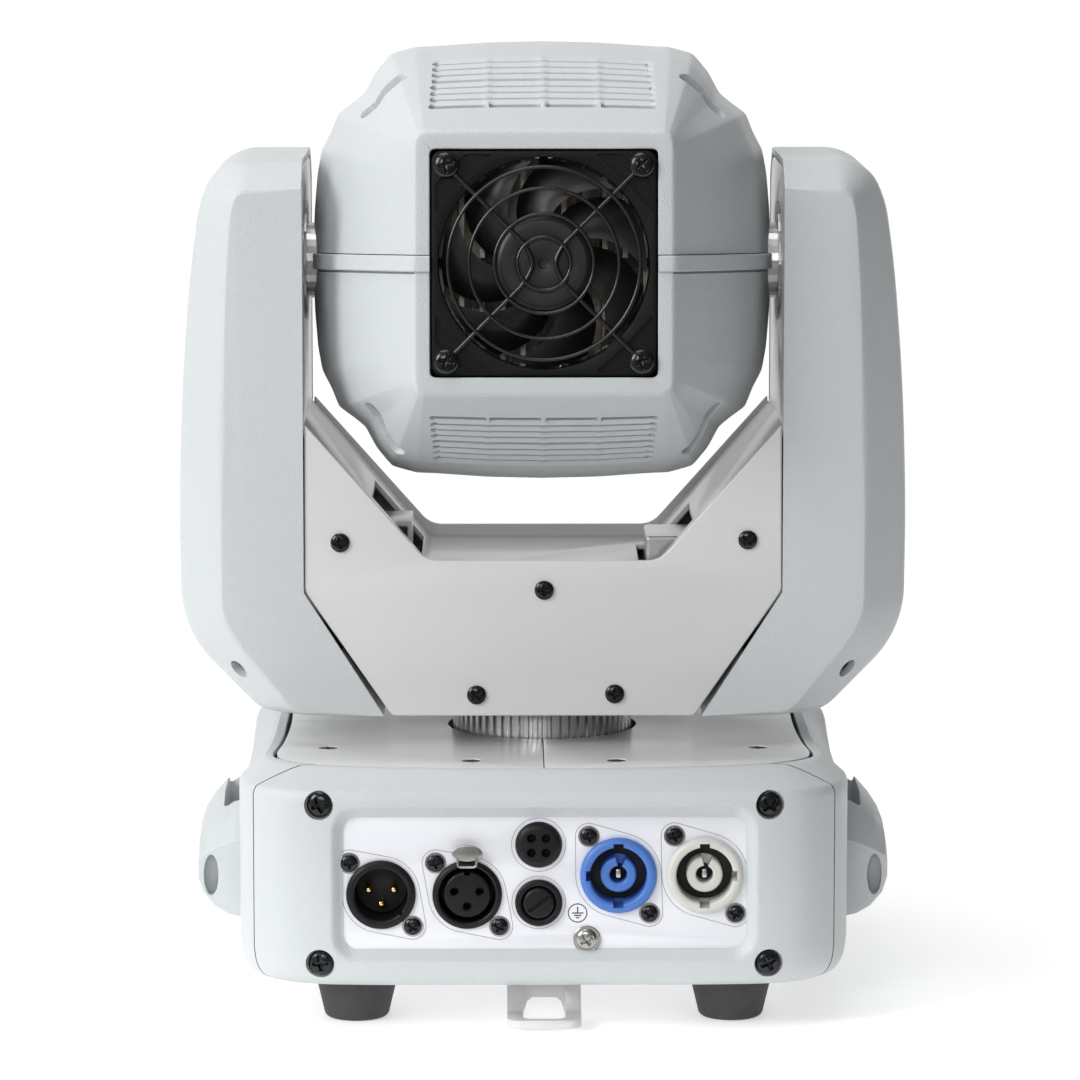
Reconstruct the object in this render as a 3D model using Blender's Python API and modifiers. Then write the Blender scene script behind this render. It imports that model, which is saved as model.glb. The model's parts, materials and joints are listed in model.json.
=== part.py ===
"""Moving head light: base with connector panel, yoke on a pan pulley, tilting lamp head.

Metres, +Z up. Origin on the surface the rubber feet stand on, under the pan axis.
The connector side faces -Y, the display side and the beam (at rest) face +Y.
Dimensions below are in millimetres and are scaled by MM.
"""

import math

import bmesh
import bpy
from mathutils import Matrix, Vector

MM = 0.001
GAP = 0.3  # clearance left between touching pieces

# ---- base -------------------------------------------------------------
BASE_X, BASE_Y = 97.0, 98.0  # half width and half depth of the moulded shells
BASE_Z0, PLATE_Z = 14.3, 82.5  # underside and top plate level
BASE_WALL = 4.0
PANEL_Y = -94.2  # outer face of the connector panel
FOOT_X, FOOT_Y, FOOT_R0, FOOT_R1 = 59.5, 70.0, 9.9, 13.2
# ---- pan drive --------------------------------------------------------
RING_R, RING_BORE, RING_TEETH = 29.3, 21.5, 60
RING_Z0, RING_Z1 = 56.0, 92.9
PINION_R = 5.86
PAN_MOTOR_Y = 62.0
# ---- yoke -------------------------------------------------------------
YOKE_Z0 = 93.2
ARM_IN, ARM_OUT, ARM_TOP = 77.0, 117.0, 270.5
ARM_Y = 47.0
FRAME_Y = 44.4
MOTOR_Y, MOTOR_Z = 3.0, 130.2  # tilt motor shaft
TILT_Z = 235.5
TRUNNION_R, TILT_PULLEY_R = 12.3, 23.44
# ---- head -------------------------------------------------------------
HEAD_TILT = -3.8  # degrees, front of the head a little below level at rest
HEAD_WALL = 2.4
FAN_HALF, FAN_D0, FAN_D1 = 35.0, -77.6, -62.6
LENS_R, BEZEL_R = 37.9, 45.0

SCENE = bpy.context.scene
for o in list(bpy.data.objects):
    bpy.data.objects.remove(o, do_unlink=True)
PARTS = bpy.data.collections.new("moving_head_light")
CUTTERS = bpy.data.collections.new("cutters")
SCENE.collection.children.link(PARTS)
SCENE.collection.children.link(CUTTERS)


def material(name, colour, roughness, metallic=0.0):
    m = bpy.data.materials.new(name)
    m.use_nodes = True
    b = m.node_tree.nodes["Principled BSDF"]
    b.inputs["Base Color"].default_value = (*colour, 1.0)
    b.inputs["Roughness"].default_value = roughness
    b.inputs["Metallic"].default_value = metallic
    m.diffuse_color = (*colour, 1.0)
    return m


SHELL = material("grained_plastic", (0.66, 0.71, 0.73), 0.5)
WHITE = material("white_powder_coat", (0.80, 0.80, 0.79), 0.25)
PANEL = material("panel_print", (0.82, 0.83, 0.86), 0.35)
BLACK = material("black_plastic", (0.018, 0.018, 0.02), 0.4)
RUBBER = material("rubber", (0.03, 0.03, 0.032), 0.75)
STEEL = material("steel", (0.55, 0.55, 0.56), 0.3, 1.0)
BLACK_STEEL = material("black_steel", (0.02, 0.02, 0.022), 0.3, 0.6)
ALU = material("aluminium", (0.7, 0.7, 0.71), 0.35, 1.0)
BLUE = material("blue_plastic", (0.06, 0.17, 0.55), 0.35)
GREY = material("grey_plastic", (0.55, 0.56, 0.54), 0.4)
BRASS = material("brass", (0.75, 0.55, 0.25), 0.25, 1.0)
PCB = material("circuit_board", (0.03, 0.16, 0.07), 0.5)
GLASS = material("lens_glass", (0.75, 0.82, 0.86), 0.05)
SCREEN = material("screen", (0.02, 0.03, 0.05), 0.1)


def add(name, mesh_or_curve, mat, where=PARTS):
    ob = bpy.data.objects.new(name, mesh_or_curve)
    where.objects.link(ob)
    if mat is not None:
        ob.data.materials.append(mat)
    return ob


def as_cutter(ob):
    for c in list(ob.users_collection):
        c.objects.unlink(ob)
    CUTTERS.objects.link(ob)
    ob.hide_render = True
    ob.display_type = "WIRE"
    return ob


def outward(bm):
    bmesh.ops.recalc_face_normals(bm, faces=bm.faces[:])
    if bm.calc_volume(signed=True) < 0:
        bmesh.ops.reverse_faces(bm, faces=bm.faces[:])


def from_bmesh(name, bm, mat):
    outward(bm)
    me = bpy.data.meshes.new(name)
    bm.to_mesh(me)
    bm.free()
    return add(name, me, mat)


def block(name, x0, x1, y0, y1, z0, z1, mat, bevel=0.0):
    """A box between two corners, in millimetres."""
    bm = bmesh.new()
    bmesh.ops.create_cube(bm, size=1.0)
    bmesh.ops.scale(bm, vec=((x1 - x0) * MM, (y1 - y0) * MM, (z1 - z0) * MM), verts=bm.verts)
    bmesh.ops.translate(bm, vec=((x0 + x1) / 2 * MM, (y0 + y1) / 2 * MM, (z0 + z1) / 2 * MM), verts=bm.verts)
    ob = from_bmesh(name, bm, mat)
    if bevel:
        b = ob.modifiers.new("edges", "BEVEL")
        b.width, b.segments, b.limit_method = bevel * MM, 2, "ANGLE"
    return ob


AXES = {"Z": Matrix.Identity(3), "Y": Matrix.Rotation(math.radians(-90), 3, "X"), "X": Matrix.Rotation(math.radians(90), 3, "Y")}


def rod(name, axis, centre, r0, r1, a0, a1, mat, segments=32):
    """A cylinder or cone from a0 to a1 along an axis, r0 at a0 and r1 at a1; centre is the point on the axis."""
    bm = bmesh.new()
    bmesh.ops.create_cone(bm, cap_ends=True, segments=segments, radius1=r0 * MM, radius2=r1 * MM, depth=(a1 - a0) * MM)
    bmesh.ops.translate(bm, vec=(0, 0, (a0 + a1) / 2 * MM), verts=bm.verts)
    bmesh.ops.rotate(bm, cent=(0, 0, 0), matrix=AXES[axis], verts=bm.verts)
    bmesh.ops.translate(bm, vec=Vector(centre) * MM, verts=bm.verts)
    return from_bmesh(name, bm, mat)


def turned(name, profile, axis, centre, mat, steps=32, start=0.0):
    """A profile of (radius, along) points turned about an axis; a closed profile makes a ring."""
    n = len(profile)
    bm = bmesh.new()
    verts = [bm.verts.new((r * MM, 0, a * MM)) for r, a in profile]
    closed = min(r for r, _ in profile) > 1e-6
    for i in range(n if closed else n - 1):
        bm.edges.new((verts[i], verts[(i + 1) % n]))
    me = bpy.data.meshes.new(name)
    bm.to_mesh(me)
    bm.free()
    ob = add(name, me, mat)
    s = ob.modifiers.new("turn", "SCREW")
    s.axis, s.steps, s.render_steps = "Z", steps, steps
    s.use_merge_vertices, s.merge_threshold = True, 0.00001
    s.use_normal_calculate = True
    solid = bake(ob)
    bm = bmesh.new()
    bm.from_mesh(solid.data)
    bmesh.ops.remove_doubles(bm, verts=bm.verts, dist=1e-6)
    bmesh.ops.recalc_face_normals(bm, faces=bm.faces[:])
    bmesh.ops.rotate(bm, cent=(0, 0, 0), matrix=Matrix.Rotation(start, 3, "Z"), verts=bm.verts)
    bmesh.ops.rotate(bm, cent=(0, 0, 0), matrix=AXES[axis], verts=bm.verts)
    bmesh.ops.translate(bm, vec=Vector(centre) * MM, verts=bm.verts)
    bm.to_mesh(solid.data)
    bm.free()
    return solid


def ring(name, axis, centre, r_in, r_out, a0, a1, mat, steps=32):
    return turned(name, [(r_out, a1), (r_out, a0), (r_in, a0), (r_in, a1)], axis, centre, mat, steps)


def bake(ob):
    """Replaces an object's data with its evaluated mesh and drops its modifiers."""
    bpy.context.view_layer.update()
    ev = ob.evaluated_get(bpy.context.evaluated_depsgraph_get())
    me = bpy.data.meshes.new_from_object(ev)
    name, mats, world = ob.name, list(ob.data.materials), ob.matrix_world.copy()
    coll = ob.users_collection[0]
    bpy.data.objects.remove(ob, do_unlink=True)
    new = bpy.data.objects.new(name, me)
    coll.objects.link(new)
    new.name = name
    new.matrix_world = world
    if not me.materials and mats:
        me.materials.append(mats[0])
    return new


def plate(name, outlines, t0, t1, mat, plane="XY"):
    """A flat outline with holes, as a filled 2D curve, from t0 to t1 along the plane's normal.
    plane XY has normal Z; XZ has normal Y; YZ has normal X."""
    cu = bpy.data.curves.new(name, "CURVE")
    cu.dimensions, cu.fill_mode = "2D", "BOTH"
    cu.extrude = abs(t1 - t0) / 2 * MM
    for pts in outlines:
        sp = cu.splines.new("POLY")
        sp.points.add(len(pts) - 1)
        for p, (u, v) in zip(sp.points, pts):
            p.co = (u * MM, v * MM, 0, 1)
        sp.use_cyclic_u = True
    ob = bake(add(name, cu, mat))
    bm = bmesh.new()
    bm.from_mesh(ob.data)
    bmesh.ops.remove_doubles(bm, verts=bm.verts, dist=2e-6)
    bmesh.ops.translate(bm, vec=(0, 0, (t0 + t1) / 2 * MM), verts=bm.verts)
    if plane == "XZ":
        for v in bm.verts:
            v.co = Vector((v.co.x, v.co.z, v.co.y))
    elif plane == "YZ":
        for v in bm.verts:
            v.co = Vector((v.co.z, v.co.x, v.co.y))
    outward(bm)
    bm.to_mesh(ob.data)
    bm.free()
    return ob


def circle(r, cx=0.0, cy=0.0, n=32, a0=0.0):
    return [(cx + r * math.cos(a0 + 2 * math.pi * i / n), cy + r * math.sin(a0 + 2 * math.pi * i / n)) for i in range(n)]


def rounded_rect(x0, x1, y0, y1, r, n=4):
    pts = []
    for cx, cy, a in ((x1 - r, y1 - r, 0), (x0 + r, y1 - r, 90), (x0 + r, y0 + r, 180), (x1 - r, y0 + r, 270)):
        for i in range(n + 1):
            t = math.radians(a + 90 * i / n)
            pts.append((cx + r * math.cos(t), cy + r * math.sin(t)))
    return pts


def boolean(ob, others, operation):
    for other in others:
        m = ob.modifiers.new(operation.lower(), "BOOLEAN")
        m.operation, m.object, m.solver = operation, other, "EXACT"
    return ob


def cut(ob, *cutters):
    boolean(ob, [as_cutter(c) for c in cutters], "DIFFERENCE")
    return bake(ob)


def keep_common(ob, other):
    boolean(ob, [as_cutter(other)], "INTERSECT")
    return bake(ob)


def unite(ob, *others):
    boolean(ob, [as_cutter(c) for c in others], "UNION")
    return bake(ob)


def shade(ob, angle=35):
    ob.data.shade_smooth()
    ob.data.set_sharp_from_angle(angle=math.radians(angle))
    return ob


def loft(name, rings, mat, closed_rings=True, cap_start=False, cap_end=False):
    """A surface through rings of matching points, each point in millimetres."""
    bm = bmesh.new()
    rows = [[bm.verts.new(Vector(p) * MM) for p in r] for r in rings]
    n = len(rows[0])
    for a, b in zip(rows, rows[1:]):
        for i in range(n if closed_rings else n - 1):
            j = (i + 1) % n
            bm.faces.new((a[i], a[j], b[j], b[i]))
    if cap_start:
        bm.faces.new(rows[0])
    if cap_end:
        bm.faces.new(rows[-1])
    return from_bmesh(name, bm, mat)


def thicken(ob, wall, inward_point):
    """Solidify an open surface towards inward_point (millimetres)."""
    me = ob.data
    p = Vector(inward_point) * MM
    votes = sum((1 if (p - f.center).dot(f.normal) < 0 else -1) * f.area for f in me.polygons)
    if votes < 0:
        me.flip_normals()
    s = ob.modifiers.new("wall", "SOLIDIFY")
    s.thickness, s.offset, s.use_even_offset, s.use_rim = wall * MM, -1.0, True, True
    return bake(ob)


# =====================================================================
# BASE
# =====================================================================
# outer wall outline in plan, one quadrant, rear centre to side centre
QUAD = [(0, -98.4), (30, -98.2), (60, -97.3), (74, -95.6), (83, -92.2), (91.3, -84.6), (95.2, -75.5), (96.8, -63), (97.0, -45), (97.0, -22), (97.0, 0)]
# plate opening in plan, matching points
EDGE = [(0, -85.8), (27, -85.0), (54, -81.9), (66, -79.2), (74, -76.4), (81.6, -70.6), (85.0, -65.5), (86.2, -58), (85.0, -42), (84.1, -21), (83.8, 0)]


def base_column(i, sx, sy):
    """Points up one column of the base shell, from the bottom lip to the top plate's opening."""
    x, y = QUAD[i]
    ex, ey = EDGE[i]
    nx, ny = (ex - x), (ey - y)
    ln = math.hypot(nx, ny)
    nx, ny = nx / ln, ny / ln
    waist = 7.0 * max(0.0, 1 - (abs(y) / 62.0) ** 2) if i >= 7 else 0.0
    pts = []
    for inset, z in ((7.5, BASE_Z0), (3.2, 16.4), (0.9, 20.2), (0.0, 25.5), (0.0, 74.4 - waist), (1.3, 77.0 - waist)):
        pts.append((x + nx * inset, y + ny * inset, z))
    pts.append((x + (ex - x) * 0.62, y + (ey - y) * 0.62, 81.4 - waist * 0.12))
    pts.append((x + (ex - x) * 0.78, y + (ey - y) * 0.78, PLATE_Z))
    pts.append((ex, ey, PLATE_Z))
    return [(sx * px, sy * py, pz) for px, py, pz in pts]


# the whole skirt, then its four pieces: rear, front and two sides
last = len(QUAD) - 1
ROUND = [(i, 1, -1) for i in range(0, last)] + [(i, 1, 1) for i in range(last, 0, -1)] + [(i, -1, 1) for i in range(0, last)] + [(i, -1, -1) for i in range(last, 0, -1)]
columns = [base_column(i, sx, -sy) for i, sx, sy in ROUND]
levels = [[c[k] for c in columns] for k in range(len(columns[0]))]


def skirt(name, plan):
    whole = thicken(loft(name, levels, SHELL), BASE_WALL, (0, 0, 50))
    return keep_common(whole, plate("share", [plan], 0.0, 100.0, None, "XY"))


SPLIT = [(71.0, 77.5), (91.4, 84.4), (112.0, 91.4)]  # the joint line in plan
cap_plan = [(x, y + 0.15) for x, y in SPLIT] + [(112.0, 130.0)]
cap_plan = cap_plan + [(-x, y) for x, y in reversed(cap_plan)]
side_plan = [(40.0, 77.35)] + [(x, y - 0.15) for x, y in SPLIT]
side_plan = side_plan + [(x, -y) for x, y in reversed(side_plan)]
base_rear = skirt("base_rear_shell", [(x, -y) for x, y in cap_plan])
base_front = skirt("base_front_shell", cap_plan)
base_right = skirt("base_side_shell_right", side_plan)
base_left = skirt("base_side_shell_left", [(-x, y) for x, y in side_plan])

# connector window with sloping jambs
WIN_OUT, WIN_IN = (66.5, 25.0, 71.2), (63.2, 26.6, 68.8)


def tapered_window(name, y_out, y_in, y_end, w_out, w_in, r_out=6.0, r_in=5.0, cx=0.0):
    rings = []
    for y, (hw, z0, z1), r in ((y_out, w_out, r_out), (y_in, w_in, r_in), (y_end, w_in, r_in)):
        rings.append([(cx + u, y, v) for u, v in rounded_rect(-hw, hw, z0, z1, r, 3)])
    return loft(name, rings, None, cap_start=True, cap_end=True)


base_rear = cut(base_rear, tapered_window("window_cut", -99.2, -95.0, -86.0, (67.2, 24.6, 71.6), WIN_IN), block("panel_seat", -66.7, 66.7, PANEL_Y - 0.25, -82.0, 22.3, 73.1, None))
base_front = cut(base_front, tapered_window("display_cut", 99.2, 95.0, 86.0, (47.2, 33.6, 67.6), (45.0, 35.4, 65.8)), block("display_seat", -50.4, 50.4, 82.0, 93.9, 30.6, 70.4, None))

# screw seats on the rear shell, at the four corners of the window
SHELL_SCREWS = [(sx * 70.4, z) for sx in (-1, 1) for z in (22.2, 72.6)]

# chassis: floor plate, bridge and the fixed pan post
floor = plate("base_chassis", [[(x * 0.885, y * 0.885) for x, y in
        [(sx * QUAD[i][0], sy * QUAD[i][1]) for sx, sy, order in ((1, 1, range(0, last)), (1, -1, range(last, 0, -1)), (-1, -1, range(0, last)), (-1, 1, range(last, 0, -1))) for i in order]]],
        15.6, 17.6, ALU)
bridge = plate("bridge", [[(-36, 17.2), (-36, 50), (36, 50), (36, 17.2), (34, 17.2), (34, 48), (-34, 48), (-34, 17.2)]], -38, 38, ALU, "YZ")
post = rod("post", "Z", (0, 0, 0), 14.0, 14.0, 49.0, 88.0, ALU, 32)
chassis = unite(floor, bridge, post)
chassis = cut(chassis, rod("cable_bore", "Z", (0, 0, 0), 10.0, 10.0, 44.0, 92.0, None, 24))

for sx, side in ((-1, "left"), (1, "right")):
    for sy, end in ((-1, "rear"), (1, "front")):
        f = turned(f"foot_{end}_{side}", [(0, 15.3), (FOOT_R1, 15.3), (FOOT_R0 + 0.6, 1.8), (FOOT_R0 - 0.6, 0.0), (3.4, 0.0), (3.4, 2.4), (0, 2.4)], "Z", (sx * FOOT_X, sy * FOOT_Y, 0), RUBBER, 28)
        shade(f)

# top plates: two halves round the pan pulley, split on the centre line
PLATE_EDGE = [(ex - 1.2 * ex / 86.0, ey + 1.3) for ex, ey in EDGE]
arc = [(31.0 * math.sin(math.radians(a)), -31.0 * math.cos(math.radians(a))) for a in range(2, 180, 11)]
arc = [(x, y) for x, y in arc if x > 0.3]
half = [(0.15, PLATE_EDGE[0][1])] + PLATE_EDGE[1:] + [(x, -y) for x, y in reversed(PLATE_EDGE[1:-1])] + [(0.15, -PLATE_EDGE[0][1])]
half += [(0.15, 31.0)] + [(x, y) for x, y in reversed(arc)] + [(0.15, -31.0)]
plate("top_plate_right", [half], 81.0, PLATE_Z, WHITE)
plate("top_plate_left", [[(-x, y) for x, y in half]], 81.0, PLATE_Z, WHITE)

# connector panel
HOLES = {"dmx_in": (-51.2, 44.0, 9.6), "dmx_out": (-24.2, 44.0, 9.6), "mic": (-1.8, 59.8, 6.2), "fuse": (-1.8, 41.4, 6.2), "power_in": (23.2, 50.1, 11.0), "power_out": (50.2, 50.1, 11.0)}
panel_outline = rounded_rect(-66.4, 66.4, 22.6, 72.8, 3.0, 2)
plate("connector_panel", [panel_outline] + [circle(r + GAP, x, z, 24) for x, z, r in HOLES.values()], PANEL_Y, PANEL_Y + 1.5, PANEL, "XZ")


def socket(name, key, flange_r, bore_r, mat, depth=20.0, proud=1.3):
    """A panel socket: flange in front of the panel, body behind it, open bore."""
    x, z, r = HOLES[key]
    y0 = PANEL_Y - proud
    # the profile touches the axis, so it starts and ends there
    prof = [(0, depth), (r, depth), (r, proud - 0.15), (flange_r, proud - 0.15), (flange_r, 0.0), (bore_r, 0.0), (bore_r, 13.0), (0, 13.0)]
    ob = turned(name, prof, "Z", (0, 0, 0), mat, 28)
    ob.data.transform(Matrix.Rotation(math.radians(-90), 4, "X"))
    ob.data.transform(Matrix.Translation(Vector((x, y0, z)) * MM))
    return ob


dmx_in = socket("dmx_in_socket", "dmx_in", 10.9, 8.2, BLACK)
pins = [rod(f"pin{k}", "Y", (HOLES["dmx_in"][0] + px, 0, HOLES["dmx_in"][1] + pz), 1.2, 1.2, PANEL_Y + 2.0, PANEL_Y + 14.0, BRASS, 8) for k, (px, pz) in enumerate(((-4.0, 0.6), (4.0, 0.6), (0, -3.6)))]
dmx_in = unite(dmx_in, *pins)
dmx_out = socket("dmx_out_socket", "dmx_out", 10.9, 9.0, BLACK)
insert = rod("insert", "Y", (HOLES["dmx_out"][0], 0, HOLES["dmx_out"][1]), 7.5, 7.5, PANEL_Y - 0.4, PANEL_Y + 14.0, BLACK, 24)
dmx_out = unite(dmx_out, insert)
dmx_out = cut(dmx_out, *[rod(f"hole{k}", "Y", (HOLES["dmx_out"][0] + px, 0, HOLES["dmx_out"][1] + pz), 1.2, 1.2, PANEL_Y - 2.0, PANEL_Y + 7.0, None, 8) for k, (px, pz) in enumerate(((-4.0, 0.6), (4.0, 0.6), (0, -3.6)))])
for nm, key, mat in (("power_in_socket", "power_in", BLUE), ("power_out_socket", "power_out", GREY)):
    s = socket(nm, key, 12.0, 10.2, mat, 22.0, 2.2)
    x, z, r = HOLES[key]
    core = ring("core", "Y", (x, 0, z), 2.6, 5.6, PANEL_Y + 0.2, PANEL_Y + 13.0, mat, 24)
    s = unite(s, core)

mic = rod("mic_cap", "Y", (HOLES["mic"][0], 0, HOLES["mic"][1]), 7.0, 7.4, PANEL_Y - 2.0, PANEL_Y - 0.2, BLACK, 28)
mic = unite(mic, rod("mic_body", "Y", (HOLES["mic"][0], 0, HOLES["mic"][1]), 6.2, 6.2, PANEL_Y - 1.0, PANEL_Y + 10.0, BLACK, 28))
mic = cut(mic, *[rod(f"mic_hole{k}", "Y", (HOLES["mic"][0] + px, 0, HOLES["mic"][1] + pz), 1.25, 1.25, PANEL_Y - 3.0, PANEL_Y + 3.0, None, 8) for k, (px, pz) in enumerate(((-2.4, 2.4), (2.4, 2.4), (-2.4, -2.4), (2.4, -2.4)))])
fx, fz, fr = HOLES["fuse"]
fuse = turned("fuse_holder", [(0, 16.0), (6.2, 16.0), (6.2, 1.4), (7.4, 1.4), (7.4, 0.0), (5.3, 0.0), (5.3, 9.0), (0, 9.0)], "Z", (0, 0, 0), BLACK, 28)
fuse.data.transform(Matrix.Rotation(math.radians(-90), 4, "X"))
fuse.data.transform(Matrix.Translation(Vector((fx, PANEL_Y - 1.6, fz)) * MM))
cap = rod("fuse_cap", "Y", (fx, 0, fz), 4.9, 4.9, PANEL_Y - 2.2, PANEL_Y + 6.6, BLACK, 24)
cap = cut(cap, block("fuse_slot", fx - 4.0, fx + 4.0, PANEL_Y - 3.0, PANEL_Y - 1.2, fz - 0.7, fz + 0.7, None))
latch = plate("dmx_out_latch", [[(HOLES["dmx_out"][0] + 4.8 * math.cos(t), 57.5 + 2.6 * math.sin(t)) for t in [2 * math.pi * k / 20 for k in range(20)]]], PANEL_Y - 2.9, PANEL_Y - 2.0, STEEL, "XZ")
cpanel = bpy.data.objects["connector_panel"]
cpanel = cut(cpanel, rod("earth_hole", "Y", (13.3, 0, 29.7), 2.2, 2.2, PANEL_Y - 1, PANEL_Y + 3, None, 16))

# safety loop: bent strip with a rounded eye, hooked under the rear edge
loop_prof = [(-56, 14.0), (-79.5, 14.0), (-83.0, 4.0), (-96.5, 4.0), (-96.5, 1.4), (-81.2, 1.4), (-77.6, 11.6), (-56, 11.6)]
loop = plate("safety_loop", [loop_prof], -11.7, 11.7, WHITE, "YZ")
eye = plate("eye", [rounded_rect(-6.8, 6.8, -93.2, -79.0, 3.0, 3)], -2.0, 18.0, None, "XY")
loop = cut(loop, eye)
loop = keep_common(loop, plate("loop_corners", [rounded_rect(-11.7, 11.7, -96.5, -40.0, 4.2, 3)], -2.0, 18.0, None, "XY"))

# carrying handles: arched side pieces with a finger slot next to the wall
HANDLE_PROFILE = [(97.35, 66.5), (100.5, 65.6), (104.5, 62.0), (108.5, 57.4), (111.6, 52.6), (112.3, 47.0), (112.3, 38.0), (110.6, 32.8), (106.6, 28.2), (102.0, 25.6), (97.35, 24.6)]
for sx, side in ((-1, "left"), (1, "right")):
    def section(y, dz, k):
        """The arch at y, with its top pulled down by dz and its outside by k."""
        return [(sx * (97.35 + (x - 97.35) * k), y, z - dz * max(0.0, (z - 40) / 27.0)) for x, z in HANDLE_PROFILE]
    h = loft(f"handle_{side}", [section(-35, 17, 0.97), section(-24, 5, 1.0), section(-12, 0, 1.0), section(12, 0, 1.0), section(24, 5, 1.0), section(35, 17, 0.97)], SHELL, cap_start=True, cap_end=True)
    cutx = sorted((sx * 97.0, sx * 103.9))
    h = cut(h, plate("finger_slot", [rounded_rect(cutx[0], cutx[1], -24.0, 24.0, 2.5, 3)], 15.0, 80.0, None, "XY"))
    # oval eye in both ends
    oval = [(sx * (107.6 + 2.4 * math.cos(t)), 38.5 + 6.8 * math.sin(t)) for t in [2 * math.pi * k / 16 for k in range(16)]]
    h = cut(h, plate("oval_r", [oval], -40.0, -29.0, None, "XZ"), plate("oval_f", [oval], 29.0, 40.0, None, "XZ"))

# electronics
block("power_supply", -82, -42, -58, 58, 18.0, 52.0, ALU, 1.0)
board = block("control_board", 42, 82, -58, 58, 30.0, 31.6, PCB)
board = unite(board, block("chip_a", 50, 66, -20, -4, 31.0, 34.0, BLACK), block("chip_b", 56, 72, 20, 44, 31.0, 44.0, BLACK), block("post_b", 44, 80, -54, -46, 31.0, 42.0, BLACK), block("standoff_a", 44, 50, -56, -50, 17.9, 31.0, STEEL), block("standoff_b", 74, 80, 50, 56, 17.9, 31.0, STEEL))
# display module behind the front shell, four keys in a column on its right
dw = plate("display_panel", [rounded_rect(-50, 50, 31.0, 70.0, 3.0, 2)] + [circle(4.2, 30.0 + dx, z, 20) for dx, z in ((-7.2, 57.8), (7.2, 57.8), (-7.2, 43.2), (7.2, 43.2))], 91.8, 93.6, SCREEN, "XZ")
for nm, dx, z in (("button_menu", -7.2, 57.8), ("button_up", 7.2, 57.8), ("button_enter", -7.2, 43.2), ("button_down", 7.2, 43.2)):
    b = turned(nm, [(0, 0.0), (5.0, 0.0), (5.0, 1.2), (3.9, 1.2), (3.9, 6.0), (3.2, 6.8), (0, 6.8)], "Z", (0, 0, 0), BLACK, 20)
    b.data.transform(Matrix.Rotation(math.radians(-90), 4, "X"))
    b.data.transform(Matrix.Translation(Vector((30.0 + dx, 89.4, z)) * MM))

# pan drive in the base
mot = block("pan_motor", -21, 21, PAN_MOTOR_Y - 21, PAN_MOTOR_Y + 21, 18.0, 52.0, BLACK, 2.0)
mot = unite(mot, rod("pan_boss", "Z", (0, PAN_MOTOR_Y, 0), 11, 11, 51, 54, ALU, 24), rod("pan_shaft", "Z", (0, PAN_MOTOR_Y, 0), 2.5, 2.5, 53, 70, STEEL, 16))
pp = ring("pan_pinion", "Z", (0, PAN_MOTOR_Y, 0), 2.8, PINION_R, 57.0, 68.0, ALU, 20)
ring("pan_bearing", "Z", (0, 0, 0), 14.3, RING_BORE - GAP, 74.0, 84.0, STEEL, 32)


def belt(name, centre_a, r_a, centre_b, r_b, t, a0, a1, plane, offset=0.0):
    """A belt loop round two pulleys, in a plane, as an outline with a hole."""
    (ax, ay), (bx, by) = centre_a, centre_b
    d = math.hypot(bx - ax, by - ay)
    base_angle = math.atan2(by - ay, bx - ax)
    loops = []
    for extra in (t, 0.0):
        ra, rb = r_a + extra, r_b + extra
        phi = math.acos((ra - rb) / d)
        pts = []
        for k in range(21):
            a = base_angle + phi + (2 * math.pi - 2 * phi) * k / 20
            pts.append((ax + ra * math.cos(a), ay + ra * math.sin(a)))
        for k in range(9):
            a = base_angle - phi + 2 * phi * k / 8
            pts.append((bx + rb * math.cos(a), by + rb * math.sin(a)))
        loops.append(pts)
    return plate(name, loops, a0, a1, RUBBER, plane)


belt("pan_belt", (0, 0), RING_R + 0.4, (0, PAN_MOTOR_Y), PINION_R + 0.4, 1.5, 58.5, 66.5, "XY")

# =====================================================================
# YOKE
# =====================================================================
teeth = []
for i in range(RING_TEETH):
    for f, r in ((0.0, RING_R), (0.30, RING_R), (0.55, RING_R - 1.2), (0.75, RING_R - 1.2)):
        a = 2 * math.pi * (i + f) / RING_TEETH
        teeth.append((r * math.cos(a), r * math.sin(a)))
plate("pan_pulley", [teeth, circle(RING_BORE, n=40)], RING_Z0, RING_Z1, ALU)

# frame: closed crossbeam tube with two upright arm plates
OUT = [(-48.3, YOKE_Z0), (48.3, YOKE_Z0), (78.6, 135.0), (78.6, 267.5), (76.8, 267.5), (76.8, 185.3), (36.9, 139.0), (-36.9, 139.0), (-76.8, 185.3), (-76.8, 267.5), (-78.6, 267.5), (-78.6, 135.0)]
HOLLOW = [(-47.4, 95.0), (47.4, 95.0), (76.8, 135.6), (76.8, 182.6), (37.7, 137.2), (-37.7, 137.2), (-76.8, 182.6), (-76.8, 135.6)]
frame = plate("yoke_frame", [OUT, HOLLOW], -FRAME_Y, FRAME_Y, WHITE, "XZ")
frame = keep_common(frame, plate("frame_sides", [rounded_rect(-FRAME_Y, FRAME_Y, 60.0, 267.4, 15.0, 5)], -90, 90, None, "YZ"))
shelf = block("shelf", 30.0, 61.2, -30, 34, 111.6, 113.6, WHITE)
frame = unite(frame, shelf)
frame = cut(
    frame,
    rod("ring_hole", "Z", (0, 0, 0), 17.0, 17.0, 90.0, 98.0, None, 28),
    rod("bearing_hole", "X", (0, 0, TILT_Z), 19.4, 19.4, -85, 85, None, 32),
    rod("shaft_hole", "X", (0, MOTOR_Y, MOTOR_Z), 7.0, 7.0, 66, 85, None, 20),
    block("slot_right", 31.4, 49.0, -19.5, 21.5, 130.0, 175, None),
    block("slot_left", -55.4, -39.2, -20.0, 24.0, 130.0, 190, None),
)
COVER = [(-76.1, 186.6), (-37.2, 142.9), (37.2, 142.9), (76.1, 186.6), (76.3, 133.2), (48.4, 92.6), (-48.4, 92.6), (-76.3, 133.2)]
plate("yoke_cover_rear", [COVER], -FRAME_Y - 0.3 - 1.6, -FRAME_Y - 0.3, WHITE, "XZ")
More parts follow.
